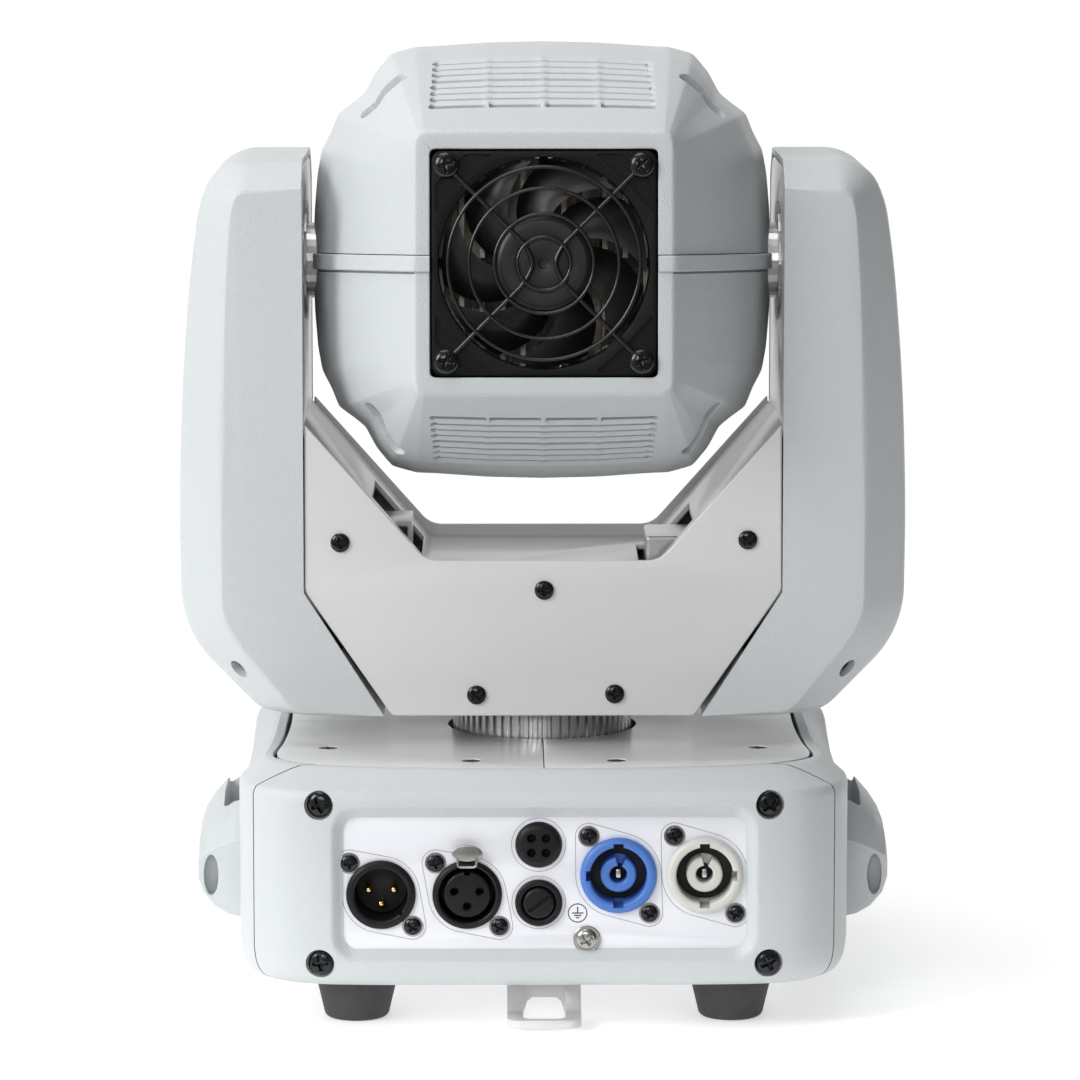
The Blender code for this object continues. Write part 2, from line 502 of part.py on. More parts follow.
plate("yoke_cover_front", [COVER], FRAME_Y + 0.3, FRAME_Y + 0.3 + 1.6, WHITE, "XZ")

# arm covers: moulded shells with chamfered faces, open towards the frame
SILHOUETTE = [(76.6, 132.6), (51.0, 92.4), (91.0, 92.4), (111.6, 113.6), (116.6, 126.0), (117.0, 160.0), (115.6, 200.0), (112.8, 235.0), (109.8, 256.5), (105.5, 266.2), (97.5, 270.5), (76.6, 270.5)]
FACE = [(76.6, 132.6), (51.0, 92.6), (79.0, 93.0), (97.6, 115.6), (102.8, 125.0), (103.2, 160.0), (102.2, 200.0), (100.8, 235.0), (99.4, 254.0), (98.2, 259.4), (95.4, 261.6), (76.6, 261.8)]


def arm_rings(sx):
    rings = []
    for y, outline in ((-ARM_Y, FACE), (-ARM_Y + 12.5, SILHOUETTE), (ARM_Y - 12.5, SILHOUETTE), (ARM_Y, FACE)):
        rings.append([(sx * x, y, z) for x, z in outline])
    return rings


def arm_cover(name, sx):
    """Open on the inner side: the ring is not closed, and the two faces are capped."""
    rings = arm_rings(sx)
    bm = bmesh.new()
    rows = [[bm.verts.new(Vector(p) * MM) for p in r] for r in rings]
    n = len(rows[0])
    for a, b in zip(rows, rows[1:]):
        for i in range(1, n - 1):
            bm.faces.new((a[i], a[i + 1], b[i + 1], b[i]))
    bm.faces.new(rows[0])
    bm.faces.new(rows[-1])
    ob = from_bmesh(name, bm, SHELL)
    return thicken(ob, 2.2, (sx * 90, 0, 190))


for sx, side in ((-1, "left"), (1, "right")):
    cover = arm_cover(f"arm_cover_{side}", sx)

# tilt drive
ty, tz = MOTOR_Y, MOTOR_Z
tm = block("tilt_motor", 33.9, 60.4, ty - 16.0, ty + 16.0, 114.2, 146.2, BLACK, 1.0)
tm = unite(tm, rod("tilt_shaft", "X", (0, ty, tz), 2.5, 2.5, 60.0, 90.0, STEEL, 16))
ring("tilt_pinion", "X", (0, ty, tz), 2.8, PINION_R, 80.5, 89.0, ALU, 20)
belt("tilt_belt", (0, TILT_Z), TILT_PULLEY_R + 0.4, (ty, tz), PINION_R + 0.4, 1.5, 81.5, 88.0, "YZ")
for sx, side in ((-1, "left"), (1, "right")):
    a0, a1 = sorted((sx * 76.3, sx * 79.6))
    brg = ring(f"tilt_bearing_{side}", "X", (0, 0, TILT_Z), TRUNNION_R + GAP, 19.0, a0, a1, STEEL, 32)
# folded bracket that guides the wiring loom, showing through the left slot
lb = plate("loom_bracket", [[(-42.6, 95.3), (-42.6, 150.6), (-52.6, 150.6), (-52.6, 149.2), (-44.0, 149.2), (-44.0, 95.3)]], -10, 20, WHITE, "XZ")

# =====================================================================
# HEAD, modelled level about the tilt axis and turned by its rest angle
# =====================================================================
pivot = bpy.data.objects.new("tilt_axis", None)
SCENE.collection.objects.link(pivot)
TILT = Matrix.Translation((0, 0, TILT_Z * MM)) @ Matrix.Rotation(math.radians(HEAD_TILT), 4, "X")
pivot.matrix_world = TILT
bpy.context.view_layer.update()

# quarter outline, from the top centre to the side centre: (x, h)
MID = [(0, 71.0), (18, 70.6), (35, 69.4), (41, 69.2), (49, 67.0), (54, 61.0), (57.6, 54.2), (61, 51.4), (66.2, 47.6), (68.6, 41.5), (71.6, 35.8), (73.0, 28.0), (74.0, 16.0), (74.4, 2.7)]
RIM = [(0, 41.2), (18, 41.2), (35.4, 41.0), (37.6, 40.9), (39.0, 40.3), (39.8, 39.6), (40.2, 38.8), (40.4, 37.8), (40.5, 36.4), (40.6, 34.0), (40.6, 29.0), (40.6, 22.0), (40.6, 12.0), (40.6, 2.7)]
LIP = [(0, 35.6), (18, 35.6), (33.6, 35.6), (34.3, 35.5), (34.8, 35.3), (35.1, 35.1), (35.3, 34.8), (35.5, 34.3), (35.6, 33.6), (35.6, 32.4), (35.6, 28.0), (35.6, 21.0), (35.6, 12.0), (35.6, 2.7)]
FRONT_R = 45.0
ANG = [90, 76, 60, 54, 48, 42, 38, 35, 31, 26.5, 21, 15, 9, 3.44]
FRONT = [(FRONT_R * math.cos(math.radians(a)), FRONT_R * math.sin(math.radians(a))) for a in ANG]


def between(w):
    return [(a[0] + (b[0] - a[0]) * w, a[1] + (b[1] - a[1]) * w) for a, b in zip(RIM, MID)]


SECTIONS = [(-77.6, LIP), (-78.0, RIM), (-62.0, between(0.33)), (-38.0, between(0.74)), (-30.0, between(0.86)), (-5.0, MID), (26.0, MID), (70.0, FRONT)]


def head_half(name, sign):
    rings = []
    for d, q in SECTIONS:
        side = list(q)
        lip = q is LIP
        pts = [(x, d, sign * h) for x, h in reversed(side)] + [(-x, d, sign * h) for x, h in side[1:]]
        if sign < 0:  # the lower shell carries the raised band that laps the joint
            bulge = 0.8 if d < 60 else 0.3
            x, h = side[-1]
            band = [(x + bulge, d, 2.4), (x + bulge, d, -2.7), (x, d, -3.2)]
            if lip:
                band = [(x, d, 2.4), (x, d, -2.7), (x, d, -3.2)]
            pts = band + pts[1:-1] + [(-p[0], p[1], p[2]) for p in reversed(band)]
        rings.append(pts)
    ob = loft(name, rings, SHELL, closed_rings=False)
    return thicken(ob, HEAD_WALL, (0, 0, sign * 10))


upper = head_half("head_shell_upper", 1)
lower = head_half("head_shell_lower", -1)
# vent slots across the rear slope of both halves, and the round trunnion openings
slots = []
for sign, shell in ((1, "u"), (-1, "l")):
    for k in range(7):
        f = (k + 0.5) / 7
        d = -66.5 + 30.0 * f
        h = sign * (49.0 + 21.0 * f)
        bm = bmesh.new()
        bmesh.ops.create_cube(bm, size=1.0)
        bmesh.ops.scale(bm, vec=(68 * MM, 1.9 * MM, 14 * MM), verts=bm.verts)
        bmesh.ops.translate(bm, vec=(0, d * MM, h * MM), verts=bm.verts)
        slots.append(from_bmesh(f"slot_{shell}{k}", bm, None))
upper = cut(upper, *slots[:7], rod("tr_u", "X", (0, 0, 0), 14.0, 14.0, -90, 90, None, 32))
lower = cut(lower, *slots[7:], rod("tr_l", "X", (0, 0, 0), 14.0, 14.0, -90, 90, None, 32))

# optical chassis with the two trunnions
hf = plate("head_frame", [[(-60, -32), (-60, 38), (-58, 38), (-58, 12), (58, 12), (58, 38), (60, 38), (60, -32), (58, -32), (58, 10), (-58, 10), (-58, -32)]], -18, 18, ALU, "XY")
for sx in (-1, 1):
    a0, a1 = sorted((sx * 58.5, sx * 92.0))
    hf = unite(hf, rod("trunnion", "X", (0, 0, 0), TRUNNION_R, TRUNNION_R, a0, a1, STEEL, 32))
hf = cut(hf, rod("loom_bore", "X", (0, 0, 0), 8.0, 8.0, -95, 95, None, 24), rod("beam_hole", "Y", (0, 0, 0), 15.0, 15.0, 5, 20, None, 28))
tp = ring("tilt_pulley", "X", (0, 0, 0), TRUNNION_R + GAP, TILT_PULLEY_R, 80.5, 89.0, ALU, 40)

# fan
ff = plate("fan_frame", [rounded_rect(-FAN_HALF, FAN_HALF, -FAN_HALF, FAN_HALF, 3.0, 2), circle(33.0, n=40)], FAN_D0, FAN_D1, BLACK, "XZ")
spider = rod("spider", "Y", (0, 0, 0), 14.0, 14.0, FAN_D1 - 2.0, FAN_D1, BLACK, 28)
strut_a = block("strut_a", -34, 34, FAN_D1 - 2.0, FAN_D1, -1.5, 1.5, BLACK)
strut_b = block("strut_b", -1.5, 1.5, FAN_D1 - 2.0, FAN_D1, -34, 34, BLACK)
ff = unite(ff, spider, strut_a, strut_b)
rotor = rod("fan_rotor", "Y", (0, 0, 0), 14.6, 14.8, FAN_D0 + 1.2, FAN_D1 - 2.6, BLACK, 28)
blades = []
for k in range(7):
    rings = []
    for r, lean in ((13.2, 0.0), (20.0, -0.10), (26.5, -0.24), (32.2, -0.42)):
        ringpts = []
        for e, off in ((-1, -0.55), (1, -0.55), (1, 0.55), (-1, 0.55)):
            a = lean + 0.31 * e + 2 * math.pi * k / 7
            ringpts.append((r * math.cos(a), (FAN_D0 + FAN_D1) / 2 - 0.7 + e * 4.0 + off, r * math.sin(a)))
        rings.append(ringpts)
    blades.append(loft(f"blade{k}", rings, BLACK, cap_start=True, cap_end=True))
rotor = unite(rotor, *blades)


def torus(name, r, tube, centre, segs=28, sides=5):
    prof = [(r + tube * math.cos(2 * math.pi * k / sides), tube * math.sin(2 * math.pi * k / sides)) for k in range(sides)]
    ob = turned(name, list(reversed(prof)), "Y", centre, BLACK_STEEL, segs)
    return ob


def wire(name, pts, radius, mat):
    cu = bpy.data.curves.new(name, "CURVE")
    cu.dimensions, cu.bevel_depth, cu.bevel_resolution, cu.use_fill_caps = "3D", radius * MM, 1, True
    sp = cu.splines.new("POLY")
    sp.points.add(len(pts) - 1)
    for p, q in zip(sp.points, pts):
        p.co = (*(Vector(q) * MM), 1)
    ob = bake(add(name, cu, mat))
    bm = bmesh.new()
    bm.from_mesh(ob.data)
    bmesh.ops.remove_doubles(bm, verts=bm.verts, dist=1e-6)
    outward(bm)
    bm.to_mesh(ob.data)
    bm.free()
    return ob


GUARD_D = FAN_D0 - 1.9
guard = torus("fan_guard", 8.3, 0.6, (0, GUARD_D, 0), 20)
extra = [torus(f"g{k}", r, 0.6, (0, GUARD_D, 0), n) for k, (r, n) in enumerate(((15.5, 24), (23.4, 28), (30.0, 32)))]
for sx in (-1, 1):
    extra.append(wire(f"w{sx}", [(sx * 30.3, GUARD_D - 0.6, 30.4), (sx * 4.6, GUARD_D - 0.9, 4.0), (sx * 3.0, GUARD_D - 0.9, 0.0), (sx * 4.6, GUARD_D - 0.9, -4.0), (sx * 30.3, GUARD_D - 0.6, -30.4)], 0.75, BLACK_STEEL))
    for sz in (-1, 1):
        extra.append(ring(f"e{sx}{sz}", "Y", (sx * 30.5, 0, sz * 30.6), 1.6, 3.6, GUARD_D - 0.7, GUARD_D + 0.9, BLACK_STEEL, 12))
guard = unite(guard, *extra)

# heatsink: comb of vertical fins on a base plate
comb = [(-33, -32)]
nf = 11
for k in range(nf):
    x0 = -33 + k * (66 - 1.6) / (nf - 1)
    comb += [(x0, -58), (x0 + 1.6, -58), (x0 + 1.6, -36)]
    if k < nf - 1:
        x1 = -33 + (k + 1) * (66 - 1.6) / (nf - 1)
        comb.append((x1, -36))
comb.append((33, -32))
hs = plate("heatsink", [comb], -33, 33, ALU, "XY")
led = unite(block("led_module", -14, 14, -31.6, -28.5, -14, 14, PCB), rod("led_lens", "Y", (0, 0, 0), 9.0, 6.0, -29.0, -20.0, GLASS, 24))

# wheels and focusing lens
def wheel(name, h, d0, d1, mat, count, hole_r, pitch):
    """A disc bored with a ring of apertures; the one on the beam axis is at the side towards h = 0."""
    start = -math.copysign(math.pi / 2, h)
    ob = rod(name, "Y", (0, 0, h), pitch + hole_r + 2.2, pitch + hole_r + 2.2, d0, d1, mat, 40)
    ob = unite(ob, rod("hub", "Y", (0, 0, h), 4.0, 4.0, d0 - 2.0, d1 + 2.0, mat, 16))
    turns = [start + 2 * math.pi * k / count for k in range(count)]
    return cut(ob, *[rod(f"aperture{k}", "Y", (pitch * math.cos(t), 0, h + pitch * math.sin(t)), hole_r, hole_r, d0 - 1, d1 + 1, None, 14) for k, t in enumerate(turns)])


cw = wheel("colour_wheel", 21.0, -14.0, -12.8, GLASS, 8, 6.0, 21.0)
gw = wheel("gobo_wheel", -21.0, -3.0, -1.8, STEEL, 7, 6.5, 21.0)
fl = turned("focus_lens", [(0.0, 39.0), (12.0, 38.2), (20.0, 36.0), (24.0, 36.0), (24.0, 28.0), (20.0, 28.0), (12.0, 25.8), (0.0, 25.0)], "Z", (0, 0, 0), GLASS, 32)
fl.data.transform(Matrix.Rotation(math.radians(-90), 4, "X"))

# front: bezel ring and the objective lens
bz = turned("lens_bezel", [(BEZEL_R, 70.4), (BEZEL_R, 75.0), (42.0, 78.4), (39.6, 78.4), (38.3, 76.2), (38.3, 70.4)], "Z", (0, 0, 0), BLACK, 48)
bz.data.transform(Matrix.Rotation(math.radians(-90), 4, "X"))
ln = turned("front_lens", [(0, 76.4), (14, 75.9), (28, 74.4), (LENS_R, 72.2), (LENS_R, 70.6), (0, 70.6)], "Z", (0, 0, 0), GLASS, 48)
ln.data.transform(Matrix.Rotation(math.radians(-90), 4, "X"))

HEAD_NODES = ["head_shell_upper", "head_shell_lower", "head_frame", "tilt_pulley", "fan_frame", "fan_rotor", "fan_guard", "heatsink", "led_module", "colour_wheel", "gobo_wheel", "focus_lens", "lens_bezel", "front_lens"]
for n in HEAD_NODES:
    o = bpy.data.objects[n]
    o.parent = pivot
    o.matrix_parent_inverse = Matrix.Identity(4)

# moving pieces turn or slide about their own origins
ORIGINS = {
    "fan_rotor": (0, (FAN_D0 + FAN_D1) / 2, 0), "colour_wheel": (0, -13.4, 21.0), "gobo_wheel": (0, -2.4, -21.0), "focus_lens": (0, 32.0, 0),
    "pan_pulley": (0, 0, RING_Z1), "pan_pinion": (0, PAN_MOTOR_Y, 62.5), "tilt_pinion": (84.7, ty, tz),
    "fuse_cap": (fx, PANEL_Y, fz), "dmx_out_latch": (HOLES["dmx_out"][0], PANEL_Y - 2.4, 57.5),
}
for n, p in ORIGINS.items():
    o = bpy.data.objects[n]
    v = Vector(p) * MM
    o.data.transform(Matrix.Translation(-v))
    o.location = v

for o in list(CUTTERS.objects):
    bpy.data.objects.remove(o, do_unlink=True)
for o in PARTS.objects:
    shade(o, 32)
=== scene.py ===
"""Looks for the moving head light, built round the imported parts. Lengths below are in millimetres unless they say otherwise."""
import json
import math

import bmesh
import bpy
import numpy as np
from mathutils import Matrix, Vector

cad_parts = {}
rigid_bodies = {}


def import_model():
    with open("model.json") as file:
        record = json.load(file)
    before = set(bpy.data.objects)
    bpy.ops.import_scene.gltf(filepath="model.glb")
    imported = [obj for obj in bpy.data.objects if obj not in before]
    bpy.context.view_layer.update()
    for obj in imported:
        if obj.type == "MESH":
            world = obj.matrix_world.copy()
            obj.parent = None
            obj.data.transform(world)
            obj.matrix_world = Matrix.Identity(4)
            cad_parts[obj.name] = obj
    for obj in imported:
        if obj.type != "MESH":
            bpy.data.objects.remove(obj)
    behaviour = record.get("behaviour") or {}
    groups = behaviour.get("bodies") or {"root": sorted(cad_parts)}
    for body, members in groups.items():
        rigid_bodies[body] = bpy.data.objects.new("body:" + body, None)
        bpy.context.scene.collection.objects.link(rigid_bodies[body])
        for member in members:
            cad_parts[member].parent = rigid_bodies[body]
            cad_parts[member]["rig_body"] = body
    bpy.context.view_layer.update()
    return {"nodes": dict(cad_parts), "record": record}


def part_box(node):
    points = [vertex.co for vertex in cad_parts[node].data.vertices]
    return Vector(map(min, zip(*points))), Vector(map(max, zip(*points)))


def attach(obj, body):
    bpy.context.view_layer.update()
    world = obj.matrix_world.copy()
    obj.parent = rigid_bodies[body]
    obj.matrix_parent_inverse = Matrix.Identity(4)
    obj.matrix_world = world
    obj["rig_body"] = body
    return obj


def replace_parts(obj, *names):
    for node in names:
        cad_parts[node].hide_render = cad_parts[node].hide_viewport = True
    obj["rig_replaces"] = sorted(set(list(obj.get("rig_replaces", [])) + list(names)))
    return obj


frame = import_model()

MM = 0.001
NODES = frame["nodes"]
SCENE = bpy.context.scene
SCENE.view_settings.view_transform = "Standard"
SCENE.view_settings.look = "None"

TILT_Z, HEAD_TILT = 235.5, -3.8
HEAD = Matrix.Translation((0, 0, TILT_Z * MM)) @ Matrix.Rotation(math.radians(HEAD_TILT), 4, "X")
PANEL_Y = -94.2

# =====================================================================
# Materials
# =====================================================================


def new_material(name):
    m = bpy.data.materials.new(name)
    m.use_nodes = True
    return m, m.node_tree, m.node_tree.nodes["Principled BSDF"]


def link(t, a, b):
    t.links.new(a, b)


def noise(t, coord, scale, detail=2.0, rough=0.5):
    n = t.nodes.new("ShaderNodeTexNoise")
    n.inputs["Scale"].default_value = scale
    n.inputs["Detail"].default_value = detail
    n.inputs["Roughness"].default_value = rough
    link(t, coord, n.inputs["Vector"])
    return n.outputs["Fac"]


def voronoi(t, coord, scale, smooth=0.6):
    n = t.nodes.new("ShaderNodeTexVoronoi")
    n.feature = "SMOOTH_F1"
    n.inputs["Scale"].default_value = scale
    n.inputs["Smoothness"].default_value = smooth
    link(t, coord, n.inputs["Vector"])
    return n.outputs["Distance"]


def math_node(t, op, a, b=None):
    n = t.nodes.new("ShaderNodeMath")
    n.operation = op
    for k, v in enumerate((a, b)):
        if v is None:
            continue
        if isinstance(v, (int, float)):
            n.inputs[k].default_value = v
        else:
            link(t, v, n.inputs[k])
    return n.outputs[0]


def to_range(t, fac, lo, hi, f0=0.3, f1=0.7):
    n = t.nodes.new("ShaderNodeMapRange")
    n.inputs["From Min"].default_value, n.inputs["From Max"].default_value = f0, f1
    n.inputs["To Min"].default_value, n.inputs["To Max"].default_value = lo, hi
    link(t, fac, n.inputs["Value"])
    return n.outputs[0]


def two_colours(t, fac, a, b):
    n = t.nodes.new("ShaderNodeMix")
    n.data_type = "RGBA"
    n.inputs["A"].default_value = (*a, 1)
    n.inputs["B"].default_value = (*b, 1)
    link(t, fac, n.inputs["Factor"])
    return n.outputs["Result"]


def bump(t, b, height, distance, strength=1.0):
    n = t.nodes.new("ShaderNodeBump")
    n.inputs["Distance"].default_value = distance
    n.inputs["Strength"].default_value = strength
    link(t, height, n.inputs["Height"])
    link(t, n.outputs["Normal"], b.inputs["Normal"])


def surface(name, colour, rough, *, vary=0.03, rough_vary=0.06, metallic=0.0, grain=None, grain_depth=0.0, peel=None, peel_depth=0.0, coat=0.0, patch=22.0, spec=0.5, dust=None):
    """Colour with slow variation, worn roughness, and a fine grain or an orange peel in the bump."""
    m, t, b = new_material(name)
    co = t.nodes.new("ShaderNodeTexCoord").outputs["Object"]
    slow = noise(t, co, patch, 4.0, 0.6)
    dark = tuple(max(0.0, c * (1 - vary)) for c in colour)
    light = tuple(min(1.0, c * (1 + vary)) for c in colour)
    if dust is not None:
        specks = math_node(t, "GREATER_THAN", noise(t, co, 260.0, 1.0), 0.80)
        base = two_colours(t, slow, dark, light)
        n = t.nodes.new("ShaderNodeMix")
        n.data_type = "RGBA"
        n.inputs["B"].default_value = (*dust, 1)
        link(t, base, n.inputs["A"])
        link(t, math_node(t, "MULTIPLY", specks, 0.5), n.inputs["Factor"])
        link(t, n.outputs["Result"], b.inputs["Base Color"])
    else:
        link(t, two_colours(t, slow, dark, light), b.inputs["Base Color"])
    mid = noise(t, co, 140.0, 3.0, 0.6)
    link(t, to_range(t, mid, max(0.02, rough - rough_vary), rough + rough_vary), b.inputs["Roughness"])
    b.inputs["Metallic"].default_value = metallic
    b.inputs["Specular IOR Level"].default_value = spec
    if coat:
        b.inputs["Coat Weight"].default_value = coat
        b.inputs["Coat Roughness"].default_value = 0.12
    heights = None
    if grain:
        cells = math_node(t, "MULTIPLY", voronoi(t, co, grain), 1.0)
        fine = math_node(t, "MULTIPLY", noise(t, co, grain * 1.7, 2.0), 0.55)
        heights = math_node(t, "ADD", cells, fine)
        bump(t, b, heights, grain_depth)
    elif peel:
        bump(t, b, noise(t, co, peel, 2.0, 0.45), peel_depth)
    return m


def brushed(name, colour, rough, direction, scale=900.0, depth=0.00002, metallic=1.0):
    """Metal with fine lines running along one axis."""
    m, t, b = new_material(name)
    co = t.nodes.new("ShaderNodeTexCoord").outputs["Object"]
    mp = t.nodes.new("ShaderNodeMapping")
    s = [scale] * 3
    s["XYZ".index(direction)] = scale * 0.02
    mp.inputs["Scale"].default_value = s
    link(t, co, mp.inputs["Vector"])
    lines = noise(t, mp.outputs["Vector"], 1.0, 3.0, 0.65)
    dark = tuple(c * 0.9 for c in colour)
    link(t, two_colours(t, lines, dark, colour), b.inputs["Base Color"])
    link(t, to_range(t, lines, rough * 0.8, rough * 1.25), b.inputs["Roughness"])
    b.inputs["Metallic"].default_value = metallic
    bump(t, b, lines, depth)
    return m


SHELL = surface("shell_grained", (0.555, 0.583, 0.594), 0.45, vary=0.006, rough_vary=0.04, grain=1900.0, grain_depth=0.00009)
WHITE = surface("white_gloss_paint", (0.655, 0.655, 0.650), 0.30, vary=0.003, rough_vary=0.015, peel=420.0, peel_depth=0.000012, coat=0.2)
PANEL = surface("panel_film", (0.78, 0.79, 0.83), 0.38, vary=0.01, rough_vary=0.03, peel=900.0, peel_depth=0.00002)
BLACK = surface("black_plastic", (0.008, 0.008, 0.009), 0.38, vary=0.15, rough_vary=0.06, grain=1500.0, grain_depth=0.00004, spec=0.24)
BLACK_FRAME = surface("black_plastic_frame", (0.0055, 0.0055, 0.006), 0.42, vary=0.15, rough_vary=0.06, grain=1500.0, grain_depth=0.00004, spec=0.16)
BLACK_ROTOR = surface("black_plastic_rotor", (0.015, 0.015, 0.016), 0.36, vary=0.12, rough_vary=0.05, spec=0.30)
BLACK_GLOSS = surface("black_plastic_gloss", (0.010, 0.010, 0.012), 0.27, vary=0.1, rough_vary=0.05, peel=500.0, peel_depth=0.00003)
SCREW = surface("screw_black_oxide", (0.012, 0.012, 0.014), 0.22, vary=0.25, rough_vary=0.08, metallic=0.7, peel=1200.0, peel_depth=0.00002, coat=0.4)
WIRE = surface("wire_black_lacquer", (0.010, 0.010, 0.012), 0.22, vary=0.15, rough_vary=0.06, metallic=0.3, peel=700.0, peel_depth=0.00003, coat=0.3)
RUBBER = surface("foot_rubber", (0.045, 0.043, 0.045), 0.66, vary=0.12, rough_vary=0.06, grain=1300.0, grain_depth=0.00008)
BELT = surface("belt_rubber", (0.02, 0.02, 0.022), 0.7, vary=0.1, rough_vary=0.05, grain=1700.0, grain_depth=0.0001)
BLUE = surface("blue_nylon", (0.065, 0.175, 0.53), 0.36, vary=0.05, rough_vary=0.05, grain=1600.0, grain_depth=0.00005)
GREY = surface("grey_nylon", (0.60, 0.60, 0.56), 0.38, vary=0.03, rough_vary=0.05, grain=1600.0, grain_depth=0.00005)
# near-black painted shade: the shells' cut edges in the joints, the louvre slot bottoms and the floors of the deep
# socket wells
SHADE_DARK = surface("painted_shade_dark", (0.006, 0.006, 0.007), 0.55, vary=0.1, rough_vary=0.05, grain=1500.0, grain_depth=0.00003)
GOLD = surface("pin_gold", (0.85, 0.58, 0.22), 0.2, vary=0.06, rough_vary=0.04, metallic=1.0, peel=900.0, peel_depth=0.00001)
CHROME = surface("bright_steel", (0.40, 0.39, 0.375), 0.27, vary=0.06, rough_vary=0.06, metallic=1.0, peel=600.0, peel_depth=0.00003)
STEEL = brushed("steel_turned", (0.60, 0.60, 0.61), 0.28, "Z")
ALU = brushed("aluminium_brushed", (0.72, 0.72, 0.73), 0.33, "Z")
FINS = brushed("fin_aluminium", (0.30, 0.265, 0.225), 0.3, "Z", 700.0)
MOTOR = surface("motor_plate", (0.56, 0.57, 0.58), 0.34, vary=0.05, rough_vary=0.06, metallic=0.6, peel=400.0, peel_depth=0.00004)
MOTOR_BLACK = surface("motor_black", (0.02, 0.02, 0.022), 0.35, vary=0.1, rough_vary=0.06, peel=400.0, peel_depth=0.00004)
PCB = surface("circuit_board", (0.02, 0.13, 0.05), 0.42, vary=0.2, rough_vary=0.08, patch=160.0, peel=900.0, peel_depth=0.00004)
INK = surface("printed_mark", (0.03, 0.03, 0.035), 0.5, vary=0.1, rough_vary=0.05, peel=900.0, peel_depth=0.00001)
SCREEN = surface("screen_glass", (0.008, 0.012, 0.022), 0.08, vary=0.2, rough_vary=0.02, coat=0.8, peel=60.0, peel_depth=0.00002)
RED = surface("red_lead", (0.45, 0.02, 0.015), 0.4, vary=0.1, rough_vary=0.05, peel=900.0, peel_depth=0.00002)


def glass(name, colour, rough, ior=1.5, transmission=1.0):
    m, t, b = new_material(name)
    co = t.nodes.new("ShaderNodeTexCoord").outputs["Object"]
    link(t, two_colours(t, noise(t, co, 15.0, 2.0), tuple(c * 0.97 for c in colour), colour), b.inputs["Base Color"])
    link(t, to_range(t, noise(t, co, 90.0, 3.0), rough * 0.6, rough * 1.4), b.inputs["Roughness"])
    b.inputs["Transmission Weight"].default_value = transmission
    b.inputs["IOR"].default_value = ior
    return m


GLASS = glass("lens_glass", (0.90, 0.94, 0.98), 0.03)
TINT = glass("dichroic_filter", (0.45, 0.62, 0.95), 0.06, transmission=0.7)

# =====================================================================
# Mesh helpers
# =====================================================================


def outward(bm):
    bmesh.ops.recalc_face_normals(bm, faces=bm.faces[:])
    if bm.calc_volume(signed=True) < 0:
        bmesh.ops.reverse_faces(bm, faces=bm.faces[:])


def make(name, bm, mat, close=True):
    if close:
        outward(bm)
    me = bpy.data.meshes.new(name)
    bm.to_mesh(me)
    bm.free()
    ob = bpy.data.objects.new(name, me)
    SCENE.collection.objects.link(ob)
    if mat is not None:
        me.materials.append(mat)
    return ob


def bake(ob):
    """The object with its modifiers applied, under the same name."""
    bpy.context.view_layer.update()
    ev = ob.evaluated_get(bpy.context.evaluated_depsgraph_get())
    me = bpy.data.meshes.new_from_object(ev)
    name, mats = ob.name, [m for m in ob.data.materials]
    bpy.data.objects.remove(ob, do_unlink=True)
    new = bpy.data.objects.new(name, me)
    SCENE.collection.objects.link(new)
    if not me.materials:
        for m in mats:
            me.materials.append(m)
    return new


def smooth(ob, angle=32):
    ob.data.shade_smooth()
    ob.data.set_sharp_from_angle(angle=math.radians(angle))
    return ob


def bevel(ob, width, segments=2, angle=30, apply=True):
    b = ob.modifiers.new("edges", "BEVEL")
    b.width, b.segments, b.limit_method, b.angle_limit = width * MM, segments, "ANGLE", math.radians(angle)
    b.use_clamp_overlap = True
    return bake(ob) if apply else ob


def boolean(ob, others, operation):
    for other in others:
        m = ob.modifiers.new(operation.lower(), "BOOLEAN")
        m.operation, m.object, m.solver = operation, other, "EXACT"
    out = bake(ob)
    for other in others:
        bpy.data.objects.remove(other, do_unlink=True)
    return out


def cut(ob, *others):
    return boolean(ob, others, "DIFFERENCE")


def common(ob, other):
    return boolean(ob, [other], "INTERSECT")


def joined(name, obs, mat=None):
    """Several meshes as one object."""
    bm = bmesh.new()
    mats = []
    for o in obs:
        tmp = o.data.copy()
        start = len(mats)
        for m in o.data.materials:
            mats.append(m)
        n0 = len(bm.faces)
        bm.from_mesh(tmp)
        bm.faces.ensure_lookup_table()
        for f in bm.faces[n0:]:
            f.material_index += start
        bpy.data.meshes.remove(tmp)
    me = bpy.data.meshes.new(name)
    bm.to_mesh(me)
    bm.free()
    for o in obs:
        bpy.data.objects.remove(o, do_unlink=True)
    ob = bpy.data.objects.new(name, me)
    SCENE.collection.objects.link(ob)
    for m in ([mat] if mat is not None else mats):
        me.materials.append(m)
    if mat is not None:
        for p in me.polygons:
            p.material_index = 0
    return ob


def block(name, x0, x1, y0, y1, z0, z1, mat, edge=0.0, segments=2):
    bm = bmesh.new()
    bmesh.ops.create_cube(bm, size=1.0)
    bmesh.ops.scale(bm, vec=((x1 - x0) * MM, (y1 - y0) * MM, (z1 - z0) * MM), verts=bm.verts)
    bmesh.ops.translate(bm, vec=((x0 + x1) / 2 * MM, (y0 + y1) / 2 * MM, (z0 + z1) / 2 * MM), verts=bm.verts)
    ob = make(name, bm, mat)
    return bevel(ob, edge, segments) if edge else ob


AXES = {"Z": Matrix.Identity(3), "Y": Matrix.Rotation(math.radians(-90), 3, "X"), "X": Matrix.Rotation(math.radians(90), 3, "Y")}


